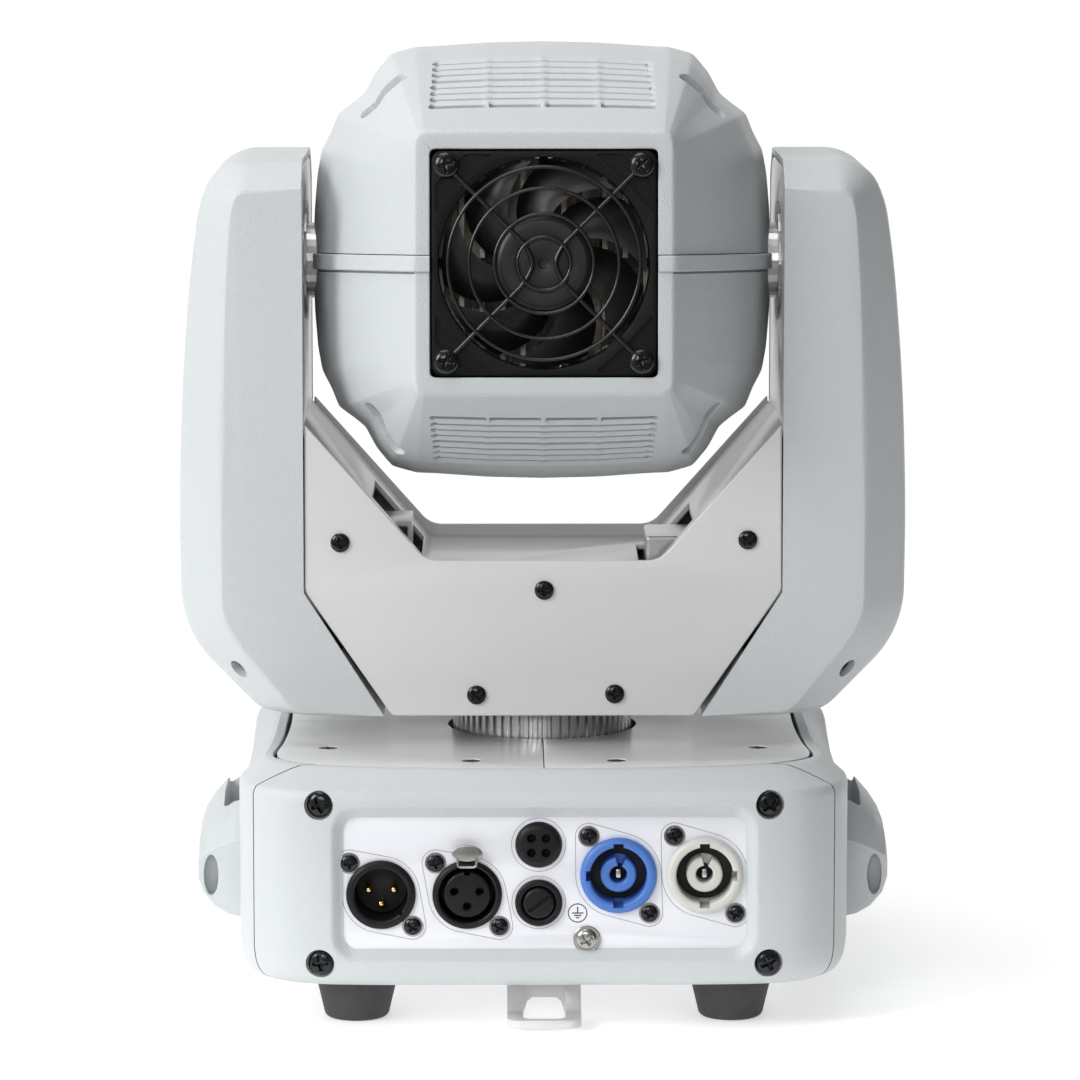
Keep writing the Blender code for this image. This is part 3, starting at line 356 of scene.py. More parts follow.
def lathe(name, profile, axis, centre, mat, segs=48, spin=None):
    """A closed profile of (radius, along) turned about an axis. Points on the axis close it."""
    bm = bmesh.new()
    rings = []
    for r, a in profile:
        if r < 1e-6:
            rings.append([bm.verts.new((0, 0, a * MM))])
        else:
            rings.append([bm.verts.new((r * MM * math.cos(2 * math.pi * k / segs), r * MM * math.sin(2 * math.pi * k / segs), a * MM)) for k in range(segs)])
    loop = profile[0][0] > 1e-6 and profile[-1][0] > 1e-6
    pairs = list(zip(rings, rings[1:])) + ([(rings[-1], rings[0])] if loop else [])
    for a, b in pairs:
        for k in range(segs):
            j = (k + 1) % segs
            if len(a) == 1 and len(b) == 1:
                continue
            if len(a) == 1:
                bm.faces.new((a[0], b[k], b[j]))
            elif len(b) == 1:
                bm.faces.new((a[k], a[j], b[0]))
            else:
                bm.faces.new((a[k], a[j], b[j], b[k]))
    bmesh.ops.rotate(bm, cent=(0, 0, 0), matrix=AXES[axis], verts=bm.verts)
    bmesh.ops.translate(bm, vec=Vector(centre) * MM, verts=bm.verts)
    return make(name, bm, mat)


def rounded_profile(points, r=0.35, n=3):
    """Rounds each inner corner of an open profile that isn't on the axis."""
    out = [points[0]]
    for p0, p1, p2 in zip(points, points[1:], points[2:]):
        a, b, c = Vector(p0), Vector(p1), Vector(p2)
        u, v = a - b, c - b
        k = min(r, u.length * 0.45, v.length * 0.45)
        if k < 1e-3 or abs(u.normalized().dot(v.normalized())) > 0.995:
            out.append(p1)
            continue
        s, e = b + u.normalized() * k, b + v.normalized() * k
        for i in range(n + 1):
            t = i / n
            out.append(tuple((1 - t) ** 2 * s + 2 * t * (1 - t) * b + t * t * e))
    out.append(points[-1])
    return out


def plate(name, outlines, t0, t1, mat, plane="XY", edge=0.0, res=2):
    """A flat outline with holes, from t0 to t1 along its normal, with rounded edges."""
    cu = bpy.data.curves.new(name, "CURVE")
    cu.dimensions, cu.fill_mode = "2D", "BOTH"
    cu.bevel_depth, cu.bevel_resolution = edge * MM, res
    cu.extrude = (abs(t1 - t0) / 2 - edge) * MM
    cu.offset = -edge * MM
    for pts in outlines:
        sp = cu.splines.new("POLY")
        sp.points.add(len(pts) - 1)
        for p, (u, v) in zip(sp.points, pts):
            p.co = (u * MM, v * MM, 0, 1)
        sp.use_cyclic_u = True
    ob = bpy.data.objects.new(name, cu)
    SCENE.collection.objects.link(ob)
    ob = bake(ob)
    bm = bmesh.new()
    bm.from_mesh(ob.data)
    bmesh.ops.remove_doubles(bm, verts=bm.verts, dist=2e-6)
    bmesh.ops.translate(bm, vec=(0, 0, (t0 + t1) / 2 * MM), verts=bm.verts)
    if plane == "XZ":
        for v in bm.verts:
            v.co = Vector((v.co.x, v.co.z, v.co.y))
    elif plane == "YZ":
        for v in bm.verts:
            v.co = Vector((v.co.z, v.co.x, v.co.y))
    outward(bm)
    bm.to_mesh(ob.data)
    bm.free()
    ob.data.materials.clear()
    if mat is not None:
        ob.data.materials.append(mat)
    return ob


def circle(r, cx=0.0, cy=0.0, n=48, a0=0.0):
    return [(cx + r * math.cos(a0 + 2 * math.pi * i / n), cy + r * math.sin(a0 + 2 * math.pi * i / n)) for i in range(n)]


def rounded_rect(x0, x1, y0, y1, r, n=6):
    pts = []
    for cx, cy, a in ((x1 - r, y1 - r, 0), (x0 + r, y1 - r, 90), (x0 + r, y0 + r, 180), (x1 - r, y0 + r, 270)):
        for i in range(n + 1):
            t = math.radians(a + 90 * i / n)
            pts.append((cx + r * math.cos(t), cy + r * math.sin(t)))
    return pts


def round_corners(points, radius, n=5):
    """A closed outline with each corner rounded; radius may be a list."""
    out = []
    m = len(points)
    for i in range(m):
        a, b, c = (Vector(points[(i + k) % m]) for k in (-1, 0, 1))
        r = radius[i] if isinstance(radius, (list, tuple)) else radius
        u, v = (a - b), (c - b)
        k = min(r, u.length * 0.48, v.length * 0.48)
        if k < 1e-3:
            out.append(tuple(b))
            continue
        s, e = b + u.normalized() * k, b + v.normalized() * k
        for j in range(n + 1):
            t = j / n
            out.append(tuple((1 - t) ** 2 * s + 2 * t * (1 - t) * b + t * t * e))
    return out


def sweep(name, pts, radius, mat, sides=10, closed=False):
    """A round wire along points."""
    cu = bpy.data.curves.new(name, "CURVE")
    cu.dimensions, cu.bevel_depth, cu.bevel_resolution, cu.use_fill_caps = "3D", radius * MM, max(1, sides // 4), True
    sp = cu.splines.new("POLY")
    sp.points.add(len(pts) - 1)
    for p, q in zip(sp.points, pts):
        p.co = (*(Vector(q) * MM), 1)
    sp.use_cyclic_u = closed
    ob = bpy.data.objects.new(name, cu)
    SCENE.collection.objects.link(ob)
    ob = bake(ob)
    ob.data.materials.clear()
    ob.data.materials.append(mat)
    return ob


def bent(points, r=2.0):
    out = [Vector(points[0])]
    for a, b, c in zip(points, points[1:], points[2:]):
        a, b, c = Vector(a), Vector(b), Vector(c)
        u, v = (a - b).normalized(), (c - b).normalized()
        k = min(r, (a - b).length * 0.45, (c - b).length * 0.45)
        for i in range(7):
            t = i / 6
            out.append((1 - t) ** 2 * (b + u * k) + 2 * t * (1 - t) * b + t * t * (b + v * k))
    out.append(Vector(points[-1]))
    return [tuple(p) for p in out]


def sheet(name, rows, mat, closed=False):
    bm = bmesh.new()
    vs = [[bm.verts.new(Vector(p) * MM) for p in r] for r in rows]
    n = len(vs[0])
    for a, b in zip(vs, vs[1:]):
        for i in range(n if closed else n - 1):
            j = (i + 1) % n
            bm.faces.new((a[i], a[j], b[j], b[i]))
    return make(name, bm, mat, close=False)


def face_away(ob, point):
    """Turns the faces so that they look away from a point inside."""
    p = Vector(point) * MM
    votes = sum((1 if (p - f.center).dot(f.normal) < 0 else -1) * f.area for f in ob.data.polygons)
    if votes < 0:
        ob.data.flip_normals()
    return ob


def solidify(ob, wall, even=True, rim=None):
    s = ob.modifiers.new("wall", "SOLIDIFY")
    if rim is not None:
        ob.data.materials.append(rim)
        s.material_offset_rim = 1
    s.thickness, s.offset, s.use_even_offset, s.use_rim = wall * MM, -1.0, even, True
    return bake(ob)


def moved(ob, matrix):
    ob.data.transform(matrix)
    return ob


def spline_fill(points, per):
    """Centripetal curve through points, `per` steps to each span."""
    P = [Vector(p) for p in points]
    P = [2 * P[0] - P[1]] + P + [2 * P[-1] - P[-2]]
    out = []
    for i in range(1, len(P) - 2):
        p0, p1, p2, p3 = P[i - 1], P[i], P[i + 1], P[i + 2]
        t0 = 0.0
        t1 = t0 + max(1e-6, (p1 - p0).length) ** 0.5
        t2 = t1 + max(1e-6, (p2 - p1).length) ** 0.5
        t3 = t2 + max(1e-6, (p3 - p2).length) ** 0.5
        for k in range(per):
            t = t1 + (t2 - t1) * k / per
            a1 = p0 * ((t1 - t) / (t1 - t0)) + p1 * ((t - t0) / (t1 - t0))
            a2 = p1 * ((t2 - t) / (t2 - t1)) + p2 * ((t - t1) / (t2 - t1))
            a3 = p2 * ((t3 - t) / (t3 - t2)) + p3 * ((t - t2) / (t3 - t2))
            b1 = a1 * ((t2 - t) / (t2 - t0)) + a2 * ((t - t0) / (t2 - t0))
            b2 = a2 * ((t3 - t) / (t3 - t1)) + a3 * ((t - t1) / (t3 - t1))
            out.append(tuple(b1 * ((t2 - t) / (t2 - t1)) + b2 * ((t - t1) / (t2 - t1))))
    out.append(tuple(P[-2]))
    return out


def give(ob, body, slot, *replaced, angle=32):
    smooth(ob, angle)
    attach(ob, body)
    if replaced:
        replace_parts(ob, *replaced)
    return ob


def toward(normal, origin):
    """A matrix that takes local +Z to a normal at an origin in millimetres."""
    q = Vector((0, 0, 1)).rotation_difference(Vector(normal).normalized())
    return Matrix.Translation(Vector(origin) * MM) @ q.to_matrix().to_4x4()


def phillips(name, centre, normal, radius, height, mat, body, slot="motor_black", turn=20.0, flat=False, shank=2.5, space=None):
    """A cross-recessed screw head: a fine polar dome, pressed in where the driver goes."""
    segs, steps = 72, 16
    bm = bmesh.new()
    rows = []
    arm, tip = radius * 0.13, radius * 0.60
    depth = height * 0.75
    for i in range(1, steps + 1):
        f = i / steps
        r = radius * f
        z = height * (1 - f * f * 0.25) if flat else height * math.sqrt(max(0.0, 1 - (f * 0.93) ** 2.6))
        row = []
        for k in range(segs):
            a = 2 * math.pi * k / segs
            x, y = r * math.cos(a), r * math.sin(a)
            inside = max(min(arm * (1.25 - 0.5 * abs(x) / tip) - abs(y), tip - abs(x)), min(arm * (1.25 - 0.5 * abs(y) / tip) - abs(x), tip - abs(y)))
            press = min(1.0, max(0.0, inside / (radius * 0.06) + 0.5))
            row.append(bm.verts.new((x * MM, y * MM, (z - press * depth * (1 - 0.35 * f)) * MM)))
        rows.append(row)
    centre_v = bm.verts.new((0, 0, (height - depth) * MM))
    for k in range(segs):
        bm.faces.new((centre_v, rows[0][k], rows[0][(k + 1) % segs]))
    for a, b in zip(rows, rows[1:]):
        for k in range(segs):
            j = (k + 1) % segs
            bm.faces.new((a[k], b[k], b[j], a[j]))
    low = [bm.verts.new((v.co.x, v.co.y, -0.02 * MM)) for v in rows[-1]]
    neck = [bm.verts.new((v.co.x * 0.5, v.co.y * 0.5, -0.02 * MM)) for v in rows[-1]]
    end = [bm.verts.new((v.co.x, v.co.y, -shank * MM)) for v in neck]
    for a, b in ((rows[-1], low), (low, neck), (neck, end)):
        for k in range(segs):
            j = (k + 1) % segs
            bm.faces.new((a[k], b[k], b[j], a[j]))
    bm.faces.new(end)
    bmesh.ops.rotate(bm, cent=(0, 0, 0), matrix=Matrix.Rotation(math.radians(turn), 3, "Z"), verts=bm.verts)
    ob = make(name, bm, mat)
    ob.data.transform((space or Matrix.Identity(4)) @ toward(normal, centre))
    return give(ob, body, slot, angle=40)


# =====================================================================
# BASE
# =====================================================================
QUAD = [(0, -98.4), (30, -98.2), (60, -97.3), (74, -95.6), (83, -92.2), (91.3, -84.6), (95.2, -75.5), (96.8, -63), (97.0, -45), (97.0, -22), (97.0, 0)]
EDGE = [(0, -85.8), (27, -85.0), (54, -81.9), (66, -79.2), (74, -76.4), (81.6, -70.6), (85.0, -65.5), (86.2, -58), (85.0, -42), (84.1, -21), (83.8, 0)]
PER = 24


def dense(points, per=PER):
    """Fine points through the quadrant, mirrored ends so the ring stays smooth on the axes."""
    P = [(-points[1][0], points[1][1])] + list(points) + [(points[-2][0], -points[-2][1])]
    fine = spline_fill(P, per)
    return fine[per:per * len(points) - per + 1]


QF, EF = dense(QUAD), dense(EDGE)
NQ = len(QF)


def profile_point(x, y, ex, ey, level, waist):
    nx, ny = ex - x, ey - y
    ln = math.hypot(nx, ny)
    nx, ny = nx / ln, ny / ln
    kind, inset, z = level
    if kind == "share":
        return (x + (ex - x) * inset, y + (ey - y) * inset, z - waist * 0.12 * (1 if inset < 0.7 else 0))
    return (x + nx * inset, y + ny * inset, z - (waist if z > 60 else 0))


KEYS = [("mm", 7.5, 14.3), ("mm", 3.2, 16.4), ("mm", 0.9, 20.2), ("mm", 0.0, 25.5), ("mm", 0.0, 74.4), ("mm", 1.3, 77.0), ("share", 0.62, 81.4), ("share", 0.78, 82.5), ("share", 1.0, 82.5)]


def skirt_column(i, sx, sy, fine_z):
    """Points up one column; the wall between z 25.5 and its top is divided finely."""
    x, y = QF[i]
    ex, ey = EF[i]
    t = max(0.0, 1 - (abs(y) / 62.0) ** 2) if (x > 90 and abs(y) < 62) else 0.0
    waist = 7.0 * t * t * (3 - 2 * t)
    keys = [profile_point(x, y, ex, ey, k, waist) for k in KEYS]
    low = spline_fill([(math.hypot(p[0] - keys[0][0], p[1] - keys[0][1]), p[2]) for p in keys[:4]], 5)
    out = []
    dirx, diry = keys[3][0] - keys[0][0], keys[3][1] - keys[0][1]
    dl = math.hypot(dirx, diry)
    for s, z in low[:-1]:
        out.append((keys[0][0] + dirx / dl * s, keys[0][1] + diry / dl * s, z))
    for k in range(fine_z + 1):
        f = k / fine_z
        a, b = keys[3], keys[4]
        out.append(tuple(a[j] + (b[j] - a[j]) * f for j in range(3)))
    # shoulder: a rounded turn, then the slope to the plate's edge
    p4, p5, p6, p7, p8 = keys[4:9]
    for k in range(1, 7):
        f = k / 6
        a = [p4[j] * (1 - f) ** 2 + 2 * f * (1 - f) * (p4[j] + (p5[j] - p4[j]) * 0.5 + (0.9 if j == 2 else 0) ) + p5[j] * f * f for j in range(3)]
        out.append(tuple(a))
    for k in range(1, 9):
        f = k / 8
        out.append(tuple(p5[j] + (p6[j] - p5[j]) * f for j in range(3)))
    for k in range(1, 5):
        f = k / 4
        out.append(tuple(p6[j] * (1 - f) ** 2 + 2 * f * (1 - f) * (p6[j] + (p7[j] - p6[j]) * 0.6) + p7[j] * f * f for j in range(3)))
    out.append(tuple(p8[j] + (p7[j] - p8[j]) * 0.08 for j in range(3)))
    out.append((p8[0], p8[1], p8[2] - 0.25))
    out.append((p8[0], p8[1], p8[2] - 1.6))
    return [(sx * px, sy * py, pz) for px, py, pz in out]


def skirt_piece(name, order, fine_z=48):
    cols = [skirt_column(i, sx, sy, fine_z) for i, sx, sy in order]
    rows = [[c[k] for c in cols] for k in range(len(cols[0]))]
    return face_away(sheet(name, rows, SHELL), (0, 0, 45))


SEAM_IN, SEAM_OUT = Vector((71.0, 77.5)), Vector((91.4, 84.4))


def past_seam(x, y):
    """How far beyond the seam's line a plan point lies, towards the rear or front; millimetres."""
    d = (SEAM_OUT - SEAM_IN).normalized()
    n = Vector((-d.y, d.x))
    return (Vector((abs(x), abs(y))) - SEAM_IN).dot(n)


def clip_seam(ob, keep_ends, gap=0.22):
    """Cuts a skirt piece along the seam planes, leaving a fine joint line."""
    bm = bmesh.new()
    bm.from_mesh(ob.data)
    d = (SEAM_OUT - SEAM_IN).normalized()
    for sx in (-1, 1):
        for sy in (-1, 1):
            n2 = Vector((-d.y * sx, d.x * sy))
            sgn = 1 if keep_ends else -1
            co = Vector((SEAM_IN.x * sx, SEAM_IN.y * sy)) + n2 * gap * sgn
            geom = bm.verts[:] + bm.edges[:] + bm.faces[:]
            near = [f for f in bm.faces if f.calc_center_median().x * sx > 0.05 and f.calc_center_median().y * sy > 0.05]
            sel = set()
            for f in near:
                sel.add(f)
                sel.update(f.edges)
                sel.update(f.verts)
            bmesh.ops.bisect_plane(bm, geom=list(sel), dist=1e-7, plane_co=(co.x * MM, co.y * MM, 0), plane_no=(n2.x, n2.y, 0), clear_inner=False, clear_outer=False)
    dead = []
    for f in bm.faces:
        c = f.calc_center_median() / MM
        v = past_seam(c.x, c.y)
        if (keep_ends and v < gap * 0.98) or (not keep_ends and v > -gap * 0.98):
            dead.append(f)
    bmesh.ops.delete(bm, geom=dead, context="FACES")
    bm.to_mesh(ob.data)
    bm.free()
    return ob


def window_shape(ob, y_sign, half_in, z0, z1, r, slope, depth_y):
    """Presses a sloping frame into the wall round where a window will be cut."""
    cx, cz = 0.0, (z0 + z1) / 2
    hx, hz = half_in - r, (z1 - z0) / 2 - r
    for v in ob.data.vertices:
        x, y, z = v.co / MM
        if y * y_sign < 88 or abs(x) > half_in + 12:
            continue
        qx, qz = abs(x - cx) - hx, abs(z - cz) - hz
        s = math.hypot(max(qx, 0), max(qz, 0)) + min(max(qx, qz), 0) - r
        if s < slope:
            f = min(1.0, 1 - s / slope)
            ease = f * f * (3 - 2 * f) * 0.5 + f * 0.5
            surface_y = y * y_sign
            v.co.y = (surface_y - (surface_y - depth_y) * ease) * y_sign * MM
    return ob


def open_window(ob, y_sign, half_in, z0, z1, r):
    a, b = sorted((y_sign * 84.0, y_sign * 104.0))
    return cut(ob, plate("window", [rounded_rect(-half_in, half_in, z0, z1, r, 10)], a, b, SHELL, "XZ"))


rear_order = [(i, -1, 1) for i in range(8 * PER, 0, -1)] + [(i, 1, 1) for i in range(0, 8 * PER + 1)]
front_order = [(i, sx, -1) for i, sx, _ in rear_order]
side_order = [(i, 1, 1) for i in range(3 * PER, NQ)] + [(i, 1, -1) for i in range(NQ - 2, 3 * PER - 1, -1)]


base_rear = skirt_piece("base_rear_moulding", rear_order)
base_rear = window_shape(base_rear, -1, 63.2, 26.6, 68.8, 4.6, 3.6, 94.55)
base_rear = clip_seam(base_rear, True)
# the wall's cut edges take the near-black material: painted shade in the seam joints
base_rear = solidify(base_rear, 3.6, even=False, rim=SHADE_DARK)
base_rear = open_window(base_rear, -1, 63.2, 26.6, 68.8, 4.6)
SHELL_SCREWS = [(-70.5, 72.6), (70.5, 72.6), (-70.3, 22.2), (70.3, 22.2)]


def wall_y(x):
    """Outer face of the rear wall at x."""
    xs = [p[0] for p in QF[:7 * PER]]
    ys = [p[1] for p in QF[:7 * PER]]
    return float(np.interp(abs(x), xs, ys))


def wall_normal(x, sy=-1):
    e = 0.5
    dy = (wall_y(abs(x) + e) - wall_y(abs(x) - e)) / (2 * e)
    return Vector((dy * (1 if x > 0 else -1), -1, 0)).normalized() if sy < 0 else Vector((dy * (1 if x > 0 else -1), 1, 0)).normalized()


seats = []
for k, (x, z) in enumerate(SHELL_SCREWS):
    n = wall_normal(x)
    c = lathe(f"seat{k}", [(0, -2.2), (4.6, -2.2), (4.6, 1.2), (5.1, 4.0), (0, 4.0)], "Z", (0, 0, 0), SHELL, 40)
    c.data.transform(toward(n, (x, wall_y(x) + (0.9 if z < 30 else 0.5), z)))
    seats.append(c)
base_rear = cut(base_rear, joined("seats", seats, SHELL))
give(base_rear, "base", "grained_shell", "base_rear_shell")
for k, (x, z) in enumerate(SHELL_SCREWS):
    n = wall_normal(x)
    y = wall_y(x) + (0.9 if z < 30 else 0.5)
    phillips(f"shell_screw_{k}", Vector((x, y, z)) - Vector(n) * 1.9, n, 4.05, 2.1, SCREW, "base", turn=15 + 37 * k)

base_front = skirt_piece("base_front_moulding", front_order)
base_front = window_shape(base_front, 1, 45.0, 35.4, 65.8, 4.6, 3.4, 93.95)
base_front = clip_seam(base_front, True)
# the wall's cut edges take the near-black material: painted shade in the seam joints
base_front = solidify(base_front, 3.6, even=False, rim=SHADE_DARK)
base_front = open_window(base_front, 1, 45.0, 35.4, 65.8, 4.6)
give(base_front, "base", "grained_shell", "base_front_shell")
for side, sx in (("right", 1), ("left", -1)):
    o = skirt_piece(f"base_side_moulding_{side}", [(i, sx, sy) for i, _, sy in side_order], 16)
    o = face_away(o, (sx * 40, 0, 45))
    o = clip_seam(o, False)
    # the wall's cut edges take the near-black material: painted shade in the seam joints
    o = solidify(o, 3.6, even=False, rim=SHADE_DARK)
    give(o, "base", "grained_shell", f"base_side_shell_{side}")

# =====================================================================
# CONNECTOR PANEL
# =====================================================================
HOLES = {"dmx_in": (-51.2, 44.0, 9.6), "dmx_out": (-24.2, 44.0, 9.6), "mic": (-1.8, 59.8, 6.2), "fuse": (-1.8, 41.4, 6.2), "power_in": (23.2, 50.1, 11.0), "power_out": (50.2, 50.1, 11.0)}
EARTH = (13.3, 29.7)
outlines = [rounded_rect(-66.3, 66.3, 22.7, 72.7, 6.0, 8)] + [circle(r, x, z, 72) for x, z, r in HOLES.values()] + [circle(2.2, *EARTH, 32)]
panel = plate("connector_panel_sheet", outlines, PANEL_Y, PANEL_Y + 1.5, PANEL, "XZ", 0.08, 1)
give(panel, "base", "panel_sheet", "connector_panel", angle=40)


def raised_line(name, points, width, mat, closed=True, y=PANEL_Y, high=0.05):
    """A thin raised line on the panel, following points: painted shade for the flange edges, print for the earth mark.
    """
    n = len(points)
    left, right = [], []
    for i in range(n):
        a = Vector(points[i - 1] if closed or i else points[i])
        c = Vector(points[(i + 1) % n] if closed or i < n - 1 else points[i])
        t = (c - a).normalized()
        nrm = Vector((-t.y, t.x)) * width / 2
        left.append(Vector(points[i]) + nrm)
        right.append(Vector(points[i]) - nrm)
    bm = bmesh.new()
    fl = [[bm.verts.new((p.x * MM, (y - high) * MM, p.y * MM)) for p in side] for side in (left, right)]
    bl = [[bm.verts.new((p.x * MM, (y + 0.02) * MM, p.y * MM)) for p in side] for side in (left, right)]
    m = n if closed else n - 1
    for i in range(m):
        j = (i + 1) % n
        bm.faces.new((fl[0][i], fl[0][j], fl[1][j], fl[1][i]))
        bm.faces.new((bl[0][i], bl[1][i], bl[1][j], bl[0][j]))
        bm.faces.new((fl[0][i], bl[0][i], bl[0][j], fl[0][j]))
        bm.faces.new((fl[1][i], fl[1][j], bl[1][j], bl[1][i]))
    if not closed:
        for i in (0, n - 1):
            bm.faces.new((fl[0][i], fl[1][i], bl[1][i], bl[0][i]))
    return make(name, bm, mat)


def lozenge(cx, cz, r, screws, rs=4.2, n=40):
    """Outline of a flange: the hull of a circle and its two screw bosses."""
    pts = []
    for x, z, rad in [(cx, cz, r)] + [(sx, sz, rs) for sx, sz in screws]:
        pts += circle(rad, x, z, 64)
    pts = sorted(set((round(x, 4), round(z, 4)) for x, z in pts))

    def half(seq):
        h = []
        for p in seq:
            while len(h) > 1 and (h[-1][0] - h[-2][0]) * (p[1] - h[-2][1]) - (h[-1][1] - h[-2][1]) * (p[0] - h[-2][0]) <= 0:
                h.pop()
            h.append(p)
        return h[:-1]

    return half(pts) + half(pts[::-1])


# darker than the panel: painted shade along the edges of the embossed flanges under the film, and round the mic and
# fuse
FLANGE_EDGE_SHADE = surface("painted_flange_edge_shade", (0.33, 0.34, 0.37), 0.5, vary=0.05, rough_vary=0.03, peel=900.0, peel_depth=0.00001)
PANEL_SCREWS = {"dmx_in": [(-61.1, 54.0), (-41.3, 33.9)], "dmx_out": [(-34.1, 54.0), (-14.1, 33.8)], "power_in": [(13.9, 62.4), (32.9, 37.9)], "power_out": [(40.7, 62.5), (59.9, 37.8)]}
lines = []
for key, screws in PANEL_SCREWS.items():
    x, z, r = HOLES[key]
    lines.append(raised_line("flange_line", lozenge(x, z, (12.2 if "dmx" in key else 13.4), screws), 0.22, FLANGE_EDGE_SHADE))
for key, r in (("mic", 8.5), ("fuse", 8.4)):
    lines.append(raised_line("round_line", circle(r, HOLES[key][0], HOLES[key][1], 96), 0.2, FLANGE_EDGE_SHADE))
# earth mark beside its screw: a ring round three shortening bars
ex, ez = 10.4, 38.0
lines_dark = [raised_line("earth_ring", circle(2.9, ex, ez, 64), 0.32, INK), raised_line("earth_stem", [(ex, ez + 2.0), (ex, ez + 0.1)], 0.4, INK, False)]
for k, w in enumerate((1.8, 1.15, 0.55)):
    lines_dark.append(raised_line("earth_bar", [(ex - w, ez - 0.75 * k), (ex + w, ez - 0.75 * k)], 0.38, INK, False))
give(joined("panel_flange_lines", lines, FLANGE_EDGE_SHADE), "base", None, angle=30)
give(joined("panel_earth_mark", lines_dark, INK), "base", None, angle=30)
n_s = 0
for key, screws in PANEL_SCREWS.items():
    for x, z in screws:
        phillips(f"panel_screw_{n_s}", (x, PANEL_Y + 0.02, z), (0, -1, 0), 2.75, 1.45, SCREW, "base", turn=8 + 47 * n_s, shank=3.0)
        washer = lathe(f"panel_screw_seat_{n_s}", [(2.6, -0.0), (3.35, 0.0), (3.35, 0.12), (2.6, 0.16)], "Z", (0, 0, 0), CHROME, 48)
        washer.data.transform(toward((0, -1, 0), (x, PANEL_Y, z)))
        give(washer, "base", None)
        n_s += 1
wash = lathe("earth_washer", [(1.6, 0.0), (4.3, 0.0), (4.3, 0.5), (4.1, 0.65), (1.6, 0.65)], "Z", (0, 0, 0), CHROME, 64)
wash.data.transform(toward((0, -1, 0), (EARTH[0], PANEL_Y, EARTH[1])))
give(wash, "base", "steel")
phillips("earth_screw", (EARTH[0], PANEL_Y - 0.6, EARTH[1]), (0, -1, 0), 3.3, 1.5, CHROME, "base", "steel", turn=33, shank=5.0)

# three-pin sockets
for key, node in (("dmx_in", "dmx_in_socket"), ("dmx_out", "dmx_out_socket")):
    x, z, _ = HOLES[key]
    bore = 8.3 if key == "dmx_in" else 8.9
    y = PANEL_Y
    prof = rounded_profile([(bore, 13.0), (bore, -0.9), (bore + 0.5, -1.3), (9.9, -1.3), (10.3, -0.9), (10.9, -0.75), (10.9, -0.02), (9.55, -0.02), (9.55, 14.0), (0, 14.0), (0, 13.0)][::1], 0.25)
    body = lathe(node + "_ring", [(0, 13.0)] + prof[:-1], "Y", (x, y, z), BLACK_GLOSS, 96)
    body.data.materials[0] = BLACK
    if key == "dmx_in":
        notch = block("key_notch", x + 4.4, x + 6.7, y - 2.0, y + 9.0, z - 6.4, z - 4.2, None)
        body = cut(body, notch)
        give(body, "base", "black_plastic", node, angle=38)
        for k, (px, pz) in enumerate(((-4.0, 0.9), (4.0, 0.9), (0.0, -3.6))):
            pin = lathe(f"dmx_pin_{k}", rounded_profile([(0, -1.0 + 3.5), (0.75, 2.7), (1.2, 3.6), (1.2, 12.8), (0, 12.8)], 0.5, 4), "Y", (x + px, y, z + pz), GOLD, 28)
            give(pin, "base", None, angle=60)
        # painted shade: near-black floor deep inside the socket
        floor_disc = lathe("dmx_in_floor", rounded_profile([(0, 11.6), (8.1, 11.6), (8.2, 12.9), (0, 12.9)], 0.2), "Y", (x, y, z), SHADE_DARK, 64)
        give(floor_disc, "base", None)
    else:
        give(body, "base", "black_plastic", node, angle=38)
        ins = lathe("dmx_out_insert", rounded_profile([(0, -0.7), (6.9, -0.7), (7.4, -0.2), (7.4, 12.9), (0, 12.9)], 0.35), "Y", (x, y, z), BLACK, 80)
        bores = [lathe("b", [(0, -3), (1.55, -3), (1.55, -0.55), (1.15, -0.1), (1.15, 7), (0, 7)], "Y", (x + px, y, z + pz), None, 28) for px, pz in ((-4.0, 0.9), (4.0, 0.9), (0.0, -3.8))]
        bores.append(block("keyway", x - 1.0, x + 1.0, y - 3.0, y + 6.0, z + 6.1, z + 9.0, None))
        ins = cut(ins, joined("bores", bores))
        give(ins, "base", None, angle=38)
        # wire stirrup under the latch tab
        st = sweep("latch_stirrup", bent([(x - 2.9, y - 2.9, z + 12.0), (x - 2.9, y - 3.15, z + 9.2), (x + 2.9, y - 3.15, z + 9.2), (x + 2.9, y - 2.9, z + 12.0)], 1.2), 0.4, CHROME, 10)
        give(st, "latch", None, angle=60)
lx, lz = HOLES["dmx_out"][0], 57.5
tab = plate("latch_tab", [[(lx + 4.8 * math.cos(t), lz + 2.6 * math.sin(t)) for t in [2 * math.pi * k / 64 for k in range(64)]]], PANEL_Y - 2.9, PANEL_Y - 1.95, CHROME, "XZ", 0.3, 3)
give(tab, "latch", "steel", "dmx_out_latch", angle=45)

# microphone cap and fuse
x, z, _ = HOLES["mic"]
mic = lathe("mic_cap_moulded", rounded_profile([(0, -2.0), (5.6, -1.9), (6.9, -1.2), (7.35, -0.2), (7.35, -0.03), (6.1, -0.03), (6.1, 9.8), (0, 9.8)], 0.5), "Y", (x, PANEL_Y, z), BLACK, 96)
mic = cut(mic, joined("mic_holes", [lathe("b", [(0, -4), (1.4, -4), (1.4, 3), (0, 3)], "Y", (x + px, PANEL_Y, z + pz), None, 28) for px in (-2.3, 2.3) for pz in (-2.3, 2.3)]))
give(mic, "base", "black_plastic", "mic_cap", angle=40)
x, z, _ = HOLES["fuse"]
fh = lathe("fuse_holder_moulded", [(0, 9.0)] + rounded_profile([(5.3, 9.0), (5.3, -1.2), (5.8, -1.6), (6.9, -1.6), (7.4, -1.1), (7.4, -0.03), (6.1, -0.03), (6.1, 14.0), (0, 14.0)], 0.3), "Y", (x, PANEL_Y, z), BLACK, 96)
give(fh, "base", "black_plastic", "fuse_holder", angle=40)
